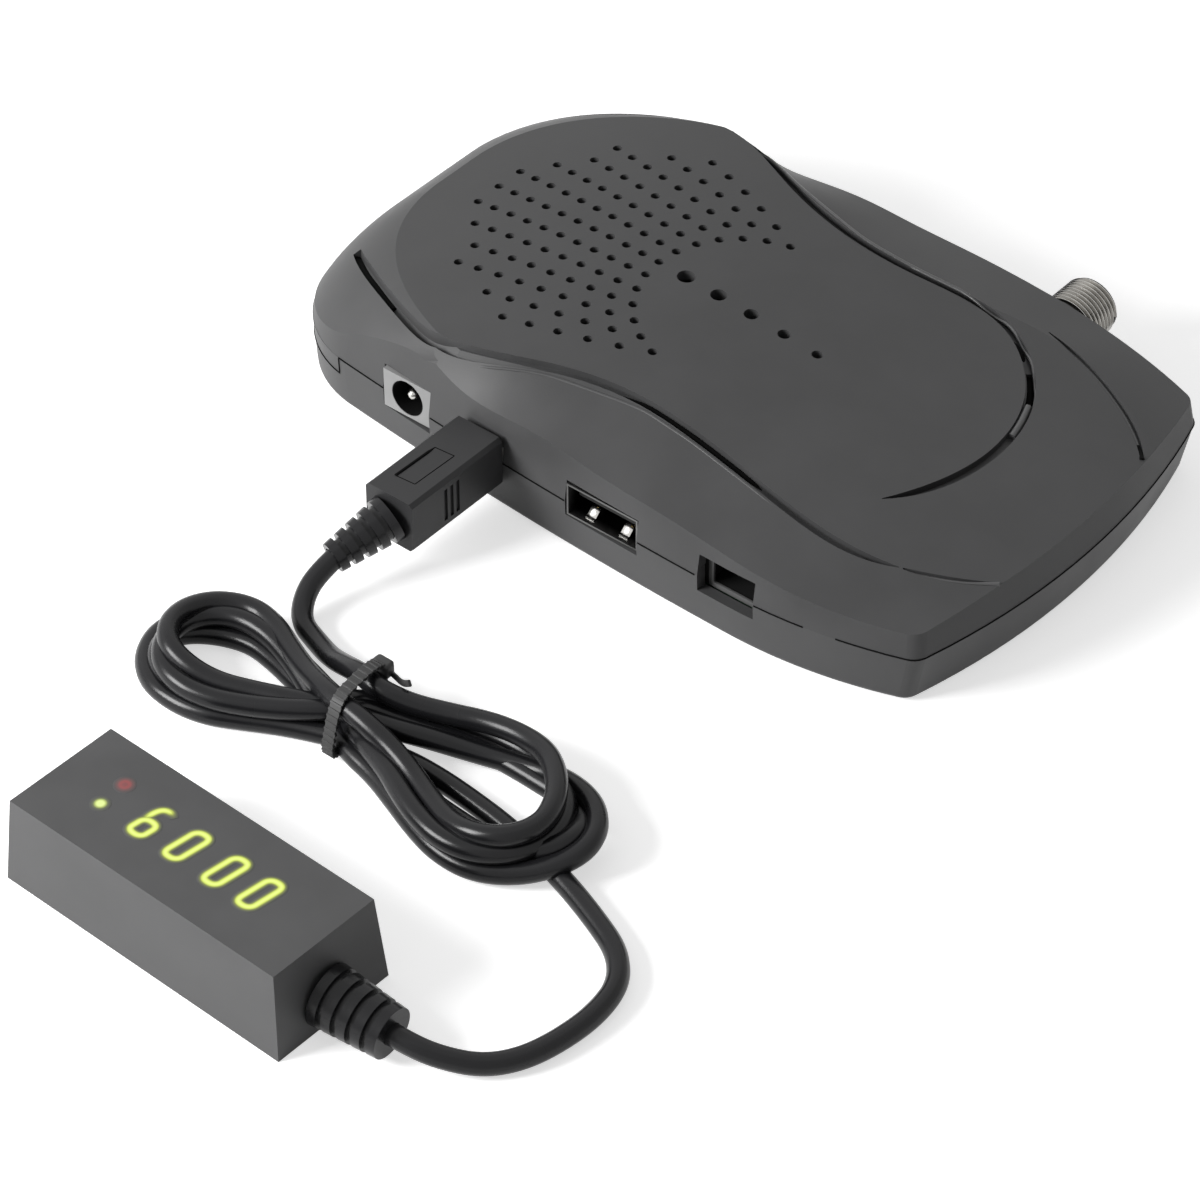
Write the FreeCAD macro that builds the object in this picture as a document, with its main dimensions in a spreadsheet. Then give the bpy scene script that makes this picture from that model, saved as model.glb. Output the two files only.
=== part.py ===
import FreeCAD, Part
import math
import os
import re

import Sketcher
from FreeCAD import Placement, Rotation, Vector

# A small satellite television receiver and the display unit that plugs into it.
# Frame: millimetres, origin on the standing surface under the middle of the receiver, +X along the
# receiver to its blunt bowed end, -Y to the side with the sockets, +Z up.

# ---------------------------------------------------------------------------------------------
# Driving sizes
# ---------------------------------------------------------------------------------------------

SIZES = {
    # receiver casing, plan
    "body_length": 126.7,
    "body_width": 78.8,
    "side_radius": 690,
    "side_apex": 29.65,
    "tail_narrowing": 5.4,
    "head_bow": 0.8,
    "tail_bow": 4.75,
    "tail_tuck": 1.2,
    "head_corner": 19,
    "tail_corner": 3.2,
    "wall": 1.8,
    # receiver casing, heights
    "foot_proud": 0.4,
    "parting_height": 9,
    "parting_step": 3,
    "parting_step_place": 47.8,
    "lower_draft": 2.5,
    "upper_draft": 8,
    "lip_height": 1,
    "lip_clearance": 0.1,
    "belly_fillet": 1,
    # roof of the upper casing
    "crown_height": 22.4,
    "crown_place": 23.4,
    "crown_radius": 260,
    "slope_start": 10.65,
    "rim_height": 14.6,
    "crown_camber": 0.6,
    "shoulder_foot": 5,
    "shoulder_lean": 17.3,
    "shoulder_top": 22.7,
    "shoulder_corner": 34,
    "shoulder_inset": 3.6,
    # channels in the roof
    "channel_width": 1.5,
    "channel_depth": 1.1,
    "crease_width": 0.9,
    "crease_depth": 0.45,
    "slot_width": 1.1,
    # vent
    "vent_hole": 1.45,
    "vent_pitch": 3.11,
    "vent_first": 15.05,
    "vent_first_radius": 17,
    "vent_growth": 1.25,
    "vent_row": 3.6,
    "vent_row_growth": 0.13,
    "vent_disc": 24.9,
    "vent_disc_place": 21.7,
    "dot_first": 9.9,
    "dot_pitch": 6.1,
    "dot_large": 2.8,
    "dot_small": 1.7,
    # feet, screws and floor slots
    "foot_round": 9,
    "foot_thick": 1,
    "foot_head_inset": 20.35,
    "foot_head_side": 10.9,
    "foot_tail_inset": 18.35,
    "foot_tail_side": 8.4,
    "screw_head_inset": 12.35,
    "screw_head_side": 19.4,
    "screw_tail_inset": 10.35,
    "screw_tail_side": 14.4,
    "screw_round": 2.6,
    "screw_reach": 11,
    "screw_head_round": 5.4,
    "screw_head_thick": 1.7,
    "screw_sink": 2.3,
    "screw_clearance": 0.3,
    "boss_round": 7,
    "pillar_round": 6,
    "floor_slot_width": 1.8,
    "floor_slot_length": 13,
    "floor_slot_pitch": 4.4,
    "floor_slot_place": 12,
    # boards and chips; a name in _share is a part of the casing's length
    "board_height": 4.4,
    "board_thick": 1.6,
    "board_edge_gap": 1.2,
    "seat_gap": 0.05,
    "chip_side": 14,
    "chip_thick": 1.2,
    "chip_share": -0.095,
    "chip_y": 4,
    "sink_side": 19,
    "sink_plate": 1.2,
    "sink_height": 6,
    "sink_fin": 1,
    "sink_fin_pitch": 3,
    "memory_length": 13,
    "memory_width": 8,
    "memory_thick": 1,
    "memory_share": 0.063,
    "memory_y": 4,
    "flash_length": 6,
    "flash_width": 5,
    "flash_thick": 1.6,
    "flash_share": -0.237,
    "flash_y": 10,
    "crystal_length": 11,
    "crystal_width": 4.6,
    "crystal_height": 3.4,
    "crystal_share": -0.095,
    "crystal_side": 18.4,
    "coil_side": 7,
    "coil_height": 4,
    "coil_well_round": 5,
    "coil_well_depth": 1,
    "coil_share": -0.3315,
    "coil_y": -12,
    "capacitor_round": 6.3,
    "capacitor_height": 7.5,
    "capacitor_share": -0.3475,
    "capacitor_y": 0,
    "capacitor_pitch": 7.4,
    "regulator_length": 6.5,
    "regulator_width": 3.5,
    "regulator_height": 1.7,
    "regulator_share": -0.221,
    "regulator_y": -9,
    "regulator_pitch": 9,
    # sockets: shared
    "port_height": 9.5,
    "port_recess": 0.4,
    "port_gap": 0.25,
    "metal_sheet": 0.3,
    # power socket
    "power_x": -33.15,
    "power_width": 9.2,
    "power_tall": 6.9,
    "power_depth": 12,
    "power_bore": 6,
    "power_bore_depth": 9.5,
    "power_pin": 2,
    "power_pin_length": 8,
    # small five-contact socket that takes the lead's plug
    "lead_x": -17.25,
    "lead_width": 7.7,
    "lead_tall": 3.9,
    "lead_depth": 9,
    "lead_tongue_width": 4.6,
    "lead_tongue_thick": 0.7,
    "lead_tongue_length": 6.4,
    # type A socket
    "host_x": 5.95,
    "host_width": 13.1,
    "host_tall": 5.7,
    "host_depth": 14,
    "host_tongue_width": 11.1,
    "host_tongue_thick": 1.84,
    "host_tongue_length": 12,
    "contact_width": 1,
    "contact_thick": 0.2,
    "contact_length": 7,
    # modular service socket
    "service_x": 28.9,
    "service_setback": 0.8,
    "service_opening": 9.9,
    "service_opening_tall": 6.4,
    "service_width": 11.6,
    "service_tall": 6.5,
    "service_depth": 15,
    "service_cavity": 9,
    "service_cavity_tall": 5.4,
    "service_cavity_depth": 12.5,
    # aerial connector and tuner
    "aerial_x": 30.6,
    "aerial_height": 8.6,
    "aerial_thread": 9.52,
    "aerial_shoulder": 9.9,
    "aerial_wall_hole": 10.3,
    "aerial_reach": 8.4,
    "aerial_chamfer": 0.4,
    "aerial_flange": 11,
    "aerial_flange_thick": 1,
    "aerial_bore": 7.4,
    "aerial_mouth": 1.6,
    "aerial_contact": 1.8,
    "aerial_contact_bore": 1,
    "tuner_length": 26,
    "tuner_width": 21,
    "tuner_height": 6.6,
    "tuner_sheet": 0.5,
    "tuner_setback": 6.2,
    # video socket
    "video_x": 6,
    "video_width": 15,
    "video_tall": 5.6,
    "video_depth": 11,
    "video_slope": 1.3,
    "video_tongue_width": 11.4,
    "video_tongue_thick": 1.1,
    "video_tongue_length": 8,
    # audio-video jack
    "jack_x": -16,
    "jack_width": 7.2,
    "jack_tall": 6.6,
    "jack_depth": 11,
    "jack_nose": 5.8,
    "jack_bore": 3.6,
    "jack_bore_depth": 12,
    # plug on the lead
    "plug_width": 8.8,
    "plug_tall": 8.7,
    "plug_length": 19.6,
    "plug_middle": 9.65,
    "plug_front": 38.4,
    "plug_edge": 0.6,
    "plug_shell_width": 6.8,
    "plug_shell_tall": 3,
    "plug_insert": 6.3,
    "plug_sheet": 0.25,
    "grip_rib_gap": 1.3,
    "grip_rib_width": 0.7,
    "grip_rib_depth": 0.35,
    # cord
    "cord_round": 3.2,
    "cord_held": 2.2,
    "cord_free": 1.7,
    "sleeve_gap": 0.1,
    "lead_sleeve_base": 7.4,
    "lead_sleeve_tip": 4.6,
    "lead_sleeve_length": 10.9,
    "lead_sleeve_yaw": 16.5,
    "lead_sleeve_dip": 17.5,
    "sleeve_rings": 5,
    "sleeve_ring_depth": 0.7,
    "bundle_height": 6.4,
    "tie_width": 2.4,
    "tie_wall": 1,
    "tie_height": 9,
    "tie_span": 15,
    "tie_turn": 22,
    # display unit
    "unit_x": 10.53,
    "unit_y": -128.25,
    "unit_turn": -1.74,
    "unit_length": 50.6,
    "unit_width": 20.6,
    "unit_height": 14.2,
    "unit_draft": 4.15,
    "unit_wall": 1.5,
    "unit_plate": 1.5,
    "unit_plate_recess": 0.3,
    "unit_board_length": 43,
    "unit_board_width": 14.4,
    "unit_board_thick": 1.2,
    "unit_board_height": 5.6,
    "unit_post_round": 3,
    "unit_post_x": 18,
    "unit_post_y": 5,
    "module_length": 27.6,
    "module_width": 10,
    "module_height": 5.6,
    "module_x": 2.7,
    "module_y": 0.3,
    "lamp_round": 3,
    "lamp_height": 5.4,
    "lamp_x": -15,
    "lamp_y": -1.75,
    "lamp_pitch": 4.65,
    "driver_length": 12.8,
    "driver_width": 7.5,
    "driver_thick": 1.8,
    "eye_side": 5,
    "eye_thick": 3.4,
    "eye_tall": 5.2,
    "eye_x": -18.8,
    "unit_sleeve_base": 9.2,
    "unit_sleeve_tip": 7.4,
    "unit_sleeve_length": 11.4,
    "unit_sleeve_height": 4.75,
    "unit_sleeve_y": -0.6,
    "unit_sleeve_dip": 4.5,
    "unit_sleeve_yaw": 5.2,
}

# ---------------------------------------------------------------------------------------------
# Document, sheet and helpers
# ---------------------------------------------------------------------------------------------

doc = FreeCAD.newDocument("receiver")
sheet = doc.addObject("Spreadsheet::Sheet", "sizes")
for row, (name, number) in enumerate(SIZES.items(), start=1):
    sheet.set("A%d" % row, name)
    sheet.set("B%d" % row, str(number))
    sheet.setAlias("B%d" % row, name)
doc.recompute()

NODES = {}
UP = Vector(0, 0, 1)
ALONG = Vector(0, 1, 0)


def rule(text):
    """An expression on the sheet, written with bare size names."""
    return re.sub(r"\b[a-z_]+\b", lambda m: "sizes." + m[0] if m[0] in SIZES else m[0], text)


def value(text):
    """The number that such an expression gives."""
    return float(sheet.evalExpression(rule(text)))


def bind(item, rules):
    """Ties properties of a document object to expressions."""
    for name, text in rules.items():
        item.setExpression(name, rule(text))
    return item


def place(item, x="0", y="0", z="0"):
    return bind(item, {".Placement.Base.x": x, ".Placement.Base.y": y, ".Placement.Base.z": z})


def box(name, length, width, height, x, y, z):
    """A block centred on x and y that stands on z."""
    made = bind(doc.addObject("Part::Box", name), {"Length": length, "Width": width, "Height": height})
    return place(made, "%s - (%s)/2" % (x, length), "%s - (%s)/2" % (y, width), z)


def post(name, across, height, x, y, z):
    """An upright cylinder that stands on z."""
    made = bind(doc.addObject("Part::Cylinder", name), {"Radius": "(%s)/2" % across, "Height": height})
    return place(made, x, y, z)


def rod(name, across, length, x, y, z):
    """A cylinder along +Y that starts at y."""
    made = bind(doc.addObject("Part::Cylinder", name), {"Radius": "(%s)/2" % across, "Height": length})
    made.Placement = Placement(Vector(), Rotation(Vector(1, 0, 0), -90))
    return place(made, x, y, z)


def fuse(name, *parts):
    made = doc.addObject("Part::MultiFuse", name)
    made.Shapes = list(parts)
    return made


def cut(name, base, *tools):
    made = doc.addObject("Part::Cut", name)
    made.Base = base
    made.Tool = tools[0] if len(tools) == 1 else fuse(name + "_tools", *tools)
    return made


def group(name, *parts):
    made = doc.addObject("Part::Compound", name)
    made.Links = list(parts)
    return made


def feature(name, shape, placement=None):
    made = doc.addObject("Part::Feature", name)
    made.Shape = shape
    if placement is not None:
        made.Placement = placement
    return made


def node(label, item):
    """Names an object as one of the kept sub-parts."""
    item.Label = label
    NODES[label] = item
    return item


def origin_plane(body, role):
    return next(f for f in body.Origin.OriginFeatures if f.Role == role)


def rectangle(body, name, plane, length, width, shift_x="0", shift_y="0"):
    """A sketched rectangle about the body's origin, its sides tied to the sheet."""
    sketch = body.newObject("Sketcher::SketchObject", name)
    sketch.AttachmentSupport = [(origin_plane(body, plane), "")]
    sketch.MapMode = "FlatFace"
    half_x, half_y = value(length) / 2, value(width) / 2
    middle = Vector(value(shift_x), value(shift_y), 0)
    corners = [middle + Vector(a * half_x, b * half_y, 0) for a, b in ((-1, -1), (1, -1), (1, 1), (-1, 1))]
    for start in range(4):
        sketch.addGeometry(Part.LineSegment(corners[start], corners[(start + 1) % 4]), False)
    for start in range(4):
        sketch.addConstraint(Sketcher.Constraint("Coincident", start, 2, (start + 1) % 4, 1))
    for line, lie in enumerate(("Horizontal", "Vertical", "Horizontal", "Vertical")):
        sketch.addConstraint(Sketcher.Constraint(lie, line))
    sizes_of = (
        (Sketcher.Constraint("DistanceX", 0, 1, 0, 2, 2 * half_x), length),
        (Sketcher.Constraint("DistanceY", 1, 1, 1, 2, 2 * half_y), width),
        (Sketcher.Constraint("DistanceX", -1, 1, 1, 1, middle.x + half_x), "%s + (%s)/2" % (shift_x, length)),
        (Sketcher.Constraint("DistanceY", -1, 1, 1, 2, middle.y + half_y), "%s + (%s)/2" % (shift_y, width)),
    )
    for constraint, text in sizes_of:
        index = sketch.addConstraint(constraint)
        sketch.setExpression("Constraints[%d]" % index, rule(text))
    return sketch


def pad(body, name, sketch, length, taper=None):
    made = body.newObject("PartDesign::Pad", name)
    made.Profile = sketch
    bind(made, {"Length": length})
    if taper:
        bind(made, {"TaperAngle": taper})
    return made


def pocket(body, name, sketch, depth, backwards, taper=None):
    made = body.newObject("PartDesign::Pocket", name)
    made.Profile = sketch
    made.Reversed = backwards
    bind(made, {"Length": depth})
    if taper:
        bind(made, {"TaperAngle": taper})
    return made


def edges_where(shape, test):
    return [edge for edge in shape.Edges if test(edge)]


def arc(first, middle, last):
    return Part.Arc(first, middle, last).toShape()


# ---------------------------------------------------------------------------------------------
# Receiver casing
# ---------------------------------------------------------------------------------------------


def wall_at(x):
    """Expression for half the casing's width at x, ahead of its widest place."""
    return "(body_width/2 - (%s - side_apex)^2/(2*side_radius))" % x


def plan_wire(inset, height, tuck=0):
    """The casing's outline, sharp at its four corners, drawn in by inset, and by tuck at its bowed end."""
    half_length = value("body_length/2") - inset
    half_width = value("body_width/2") - inset
    apex = value("side_apex")
    head_x = value("head_bow") - half_length
    tail_middle = half_length - tuck
    tail_x = tail_middle - value("tail_bow")

    def side(x):
        return half_width - (apex - x) ** 2 / (2 * value("side_radius"))

    def flank(x):
        return half_width - value("tail_narrowing") * ((x - apex) / (tail_x - apex)) ** 2

    def at(x, y):
        return Vector(x, y, height)

    head_y, tail_y = side(head_x), flank(tail_x)
    mid_side, mid_flank = (head_x + apex) / 2, (tail_x + apex) / 2
    return Part.Wire(
        [
            arc(at(head_x, -head_y), at(-half_length, 0), at(head_x, head_y)),
            arc(at(head_x, head_y), at(mid_side, side(mid_side)), at(apex, half_width)),
            arc(at(apex, half_width), at(mid_flank, flank(mid_flank)), at(tail_x, tail_y)),
            arc(at(tail_x, tail_y), at(tail_middle, 0), at(tail_x, -tail_y)),
            arc(at(tail_x, -tail_y), at(mid_flank, -flank(mid_flank)), at(apex, -half_width)),
            arc(at(apex, -half_width), at(mid_side, -side(mid_side)), at(head_x, -head_y)),
        ]
    )


def prism(inset, bottom, top, draft, tuck=0):
    """The outline raised from bottom to top, drawn in by the draft angle, with rounded corners."""
    drawn = inset + (top - bottom) * math.tan(math.radians(draft))
    solid = Part.makeLoft([plan_wire(inset, bottom, tuck), plan_wire(drawn, top)], True, True)
    apex = value("side_apex")

    def upright(edge):
        return abs(edge.Vertexes[0].Z - edge.Vertexes[-1].Z) > (top - bottom) / 2

    head = edges_where(solid, lambda e: upright(e) and e.CenterOfMass.x < 0)
    tail = edges_where(solid, lambda e: upright(e) and e.CenterOfMass.x > apex + 1)
    least = 0.4
    solid = solid.makeFillet(max(value("head_corner") - inset, least), head)
    tail = edges_where(
        solid, lambda e: upright(e) and e.CenterOfMass.x > apex + 1 and len(e.Vertexes) == 2
    )
    return solid.makeFillet(max(value("tail_corner") - inset, least), tail)


def crown(x):
    """Height of the roof's ridge line at x."""
    peak, start, end = -value("crown_place"), value("slope_start"), value("body_length/2")
    if x <= start:
        return value("crown_height") - (x - peak) ** 2 / (2 * value("crown_radius"))
    knee = value("crown_height") - (start - peak) ** 2 / (2 * value("crown_radius"))
    return knee - (x - start) * (knee - value("rim_height")) / (end - start)


# Points on the casing's plan are shares of its half-length and half-width.
# Stations along the roof: place, half-width of the raised middle panel, height of the wall's top edge.
STATIONS = (
    (-1.105, 0.431, 12.5),
    (-0.758, 0.749, 14.8),
    (-0.489, 0.868, 16.1),
    (-0.189, 0.721, 16.7),
    (0.047, 0.635, 16.6),
    (0.347, 0.670, 15.7),
    (0.616, 0.711, 14.0),
    (0.837, 0.604, 12.7),
    (1.105, 0.355, 11.8),
)
WALL_MARGIN = 2.2
ROOF_MARGIN = 4.6
ROOF_BOTTOM = -10
STEP_PAST = 3
# The blunt end's outlines, by the angle through which its top has leaned over; below 0 it stands upright.
SHOULDER_TURNS = (-12, 0, 18, 36, 52, 66, 78, 88)
SHOULDER_SLACK = 0.5
SHOULDER_SIDE = 1.2


def on_plan(points):
    """Plan points given as shares, in millimetres."""
    along, across = value("body_length/2"), value("body_width/2")
    return [(x * along, y * across) for x, y in points]


def roof(drop):
    """The domed roof as a solid that reaches below the case, lowered by drop."""
    camber, side = value("crown_camber"), value("body_width/2")
    reach, wall_line = side + ROOF_MARGIN, side - WALL_MARGIN
    sections = []
    for station in STATIONS:
        wall_top = station[2]
        ((x, panel),) = on_plan([station[:2]])
        ridge = crown(x) - drop
        edge = ridge - camber
        eave = edge - (edge + drop - wall_top) * (reach - panel) / (wall_line - panel)
        left, right = Vector(x, -panel, edge), Vector(x, panel, edge)
        corners = [
            right,
            Vector(x, reach, eave),
            Vector(x, reach, ROOF_BOTTOM),
            Vector(x, -reach, ROOF_BOTTOM),
            Vector(x, -reach, eave),
            left,
        ]
        sides = [Part.LineSegment(a, b).toShape() for a, b in zip(corners, corners[1:])]
        sections.append(Part.Wire([arc(left, Vector(x, 0, ridge), right)] + sides))
    return Part.makeLoft(sections, True, False)


def shoulder(inset):
    """The blunt left end: its top leans in and rounds off until it is nearly half of a disc."""
    far, open_side = value("body_length"), value("body_width")
    foot, top = value("shoulder_foot"), value("shoulder_top")
    low_corner, top_corner = value("head_corner"), value("shoulder_corner")
    lean = value("shoulder_lean") + SHOULDER_SLACK
    outlines = []
    for degrees in SHOULDER_TURNS:
        turn = math.radians(max(degrees, 0))
        rise = math.sin(turn)
        head = inset - value("body_length/2") - SHOULDER_SLACK + lean * (1 - math.cos(turn))
        round_off = low_corner + (top_corner - low_corner) * rise ** 1.5 - inset
        side = value("body_width/2") - SHOULDER_SIDE - value("shoulder_inset") * rise - inset
        height = foot + (top - foot - inset) * rise + min(degrees, 0)
        straight, diagonal = side - round_off, round_off * math.sqrt(0.5)
        middle = head + round_off
        knee = middle - diagonal
        corners = [(far, open_side), (middle, side), (knee, straight + diagonal), (head, straight)]
        far_side = [Vector(x, y, height) for x, y in corners]
        near_side = [Vector(x, -y, height) for x, y in corners]
        lines = [(near_side[0], near_side[1]), (near_side[3], far_side[3]), (far_side[1], far_side[0]),
                 (far_side[0], near_side[0])]
        edges = [Part.LineSegment(a, b).toShape() for a, b in lines]
        edges.insert(1, arc(*near_side[1:]))
        edges.insert(3, arc(*reversed(far_side[1:])))
        outlines.append(Part.Wire(edges))
    return Part.makeLoft(outlines, True, False)


def casing(inset, floor):
    """The whole case as one closed form: below the parting line, and the domed part above it."""
    parting = value("parting_height")
    ceiling = value("crown_height") + 2
    drafted = inset + (parting - floor) * math.tan(math.radians(value("lower_draft")))
    lower = prism(drafted, floor, parting, -value("lower_draft"), value("tail_tuck"))
    upper = prism(inset, parting, ceiling, value("upper_draft"))
    upper = upper.common(roof(inset)).common(shoulder(inset))
    return lower, upper


def ribbon(points, widths):
    """A flat strip that follows points, with a width given at each of them, as an upright solid."""
    line = Part.BSplineCurve()
    line.interpolate([Vector(x, y, 0) for x, y in points])
    sides = ([], [])
    for (x, y), width in zip(points, widths):
        tangent = line.tangent(line.parameter(Vector(x, y, 0)))[0]
        normal = Vector(-tangent.y, tangent.x, 0).normalize()
        for side, sign in zip(sides, (1, -1)):
            side.append(Vector(x, y, 0) + normal * (sign * width / 2))
    edges = []
    for side in sides:
        curve = Part.BSplineCurve()
        curve.interpolate(side)
        edges.append(curve.toShape())
    for end in (0, -1):
        if (sides[0][end] - sides[1][end]).Length > 0.01:
            edges.append(Part.LineSegment(sides[0][end], sides[1][end]).toShape())
    face = Part.Face(Part.Wire(Part.__sortEdges__(edges)))
    return face.extrude(UP * (2 * value("crown_height")))


def mirrored(points):
    return [(x, -y) for x, y in points]


# The channel beside the raised panel, on the socket side: it follows the panel's edge.
CHANNEL_NEAR = [(-0.88, -0.549), (-0.801, -0.638), (-0.684, -0.74), (-0.572, -0.818), (-0.468, -0.86)]
CHANNEL_NEAR += [(-0.339, -0.822), (-0.189, -0.721)]
CHANNEL_NEAR += [(0.047, -0.635), (0.197, -0.642), (0.347, -0.67), (0.489, -0.701), (0.616, -0.711), (0.773, -0.655)]
# On the far side it leaves the panel's edge and turns across the roof.
CHANNEL_FAR = mirrored(CHANNEL_NEAR[:10]) + [(0.481, 0.64), (0.584, 0.533), (0.66, 0.381), (0.704, 0.19), (0.713, 0.0)]
CHANNEL_FAR += [(0.688, -0.216), (0.619, -0.431)]
# Past that turn only a fine crease carries the panel's edge on to the rim.
CREASE_FAR = [(0.556, 0.736), (0.663, 0.693), (0.773, 0.624), (0.876, 0.533), (0.963, 0.406)]
CREASE_NEAR = [(0.781, -0.65), (0.876, -0.576), (0.963, -0.472)]
# Slots through the channels' floors.
SLOTS = (
    [(-0.88, -0.549), (-0.801, -0.638), (-0.684, -0.74), (-0.64, -0.774)],
    [(-0.88, 0.549), (-0.801, 0.638), (-0.684, 0.74), (-0.64, 0.774)],
    [(0.603, 0.508), (0.66, 0.381), (0.691, 0.254)],
)


def tapering(count, width, ends):
    """Widths along a channel that thins out towards its ends."""
    widths = [width] * count
    widths[0], widths[-1] = width * ends[0], width * ends[1]
    return widths


def roof_cuts():
    """What is sunk into the roof: channels, creases and the slots through them."""
    wide, deep = value("channel_width"), value("channel_depth")
    fine, shallow = value("crease_width"), value("crease_depth")
    below = roof(deep).common(shoulder(deep))
    cuts = []
    for points in (CHANNEL_NEAR, CHANNEL_FAR):
        cuts.append(ribbon(on_plan(points), tapering(len(points), wide, (0.8, 0.1))).cut(below))
    for points in (CREASE_FAR, CREASE_NEAR):
        cuts.append(ribbon(on_plan(points), tapering(len(points), fine, (0.3, 0.6))).cut(roof(shallow)))
    for points in SLOTS:
        cuts.append(ribbon(on_plan(points), [value("slot_width")] * len(points)))
    return cuts


def vent_points():
    """Centres of the vent holes: bowed columns that open out towards the head, inside one disc."""
    pitch, first = value("vent_pitch"), value("vent_first")
    disc, middle = value("vent_disc"), -value("vent_disc_place")
    radius, points = value("vent_first_radius"), []
    columns = int(2 * disc / pitch)
    for column in range(columns):
        front = -first - column * pitch
        step = value("vent_row") + column * value("vent_row_growth")
        rows = int(2 * disc / step)
        for row in range(-rows, rows + 1):
            turn = row * step / radius
            x, y = front + radius * (1 - math.cos(turn)), radius * math.sin(turn)
            if abs(turn) < 1.6 and math.hypot(x - middle, y) < disc:
                points.append((x, y))
        radius *= value("vent_growth")
    return points


def roof_holes():
    """The vent and the five graded dots beside it, as cutters."""
    depth = 2 * value("crown_height")
    bottom = value("parting_height") + 2
    holes = [Part.makeCylinder(value("vent_hole/2"), depth, Vector(x, y, bottom)) for x, y in vent_points()]
    large, small, dots = value("dot_large"), value("dot_small"), 5
    for dot in range(dots):
        across = large + (small - large) * dot / (dots - 1)
        x = dot * value("dot_pitch") - value("dot_first")
        holes.append(Part.makeCylinder(across / 2, depth, Vector(x, 0, bottom)))
    return holes


def block(x0, x1, y0, y1, z0, z1):
    return Part.makeBox(x1 - x0, y1 - y0, z1 - z0, Vector(x0, y0, z0))


def window(x, width, tall, side, middle="port_height"):
    """A cutter for a socket's opening in the long wall, side -1 near and 1 far."""
    gap = value("port_gap")
    half, rise, centre = value(width) / 2 + gap, value(tall) / 2 + gap, value(middle)
    inner, outer = value("body_width/2") - 6, value("body_width/2") + 6
    low, high = sorted((side * inner, side * outer))
    return block(value(x) - half, value(x) + half, low, high, centre - rise, centre + rise)


def port_cuts():
    cuts = [
        window("power_x", "power_width", "power_tall", -1),
        window("lead_x", "lead_width", "lead_tall", -1),
        window("host_x", "host_width", "host_tall", -1),
        window("service_x", "service_opening - 2*port_gap", "service_opening_tall - 2*port_gap", -1),
        window("video_x", "video_width", "video_tall", 1),
    ]
    round_ports = (
        ("jack_x", "port_height", "jack_nose + 2*port_gap"),
        ("aerial_x", "aerial_height", "aerial_wall_hole"),
    )
    for x, height, across in round_ports:
        start = Vector(value(x), value("body_width/2") - 6, value(height))
        cuts.append(Part.makeCylinder(value(across) / 2, 12, start, ALONG))
    return cuts


def corner_places(kind):
    """Four places drawn in from the casing's ends and sides, for "screw" or "foot"."""
    places = []
    for end, sense in (("head", -1), ("tail", 1)):
        x = sense * value("body_length/2 - %s_%s_inset" % (kind, end))
        y = value("body_width/2 - %s_%s_side" % (kind, end))
        places += [(x, -y), (x, y)]
    return places


def below_parting():
    """Everything under the parting line, which steps down near the head."""
    far, parting, step = value("body_length"), value("parting_height"), -value("parting_step_place")
    tail_zone = block(step, far, -far, far, ROOF_BOTTOM, parting)
    head_zone = block(-far, step, -far, far, ROOF_BOTTOM, parting - value("parting_step"))
    return tail_zone.fuse(head_zone)


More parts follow.
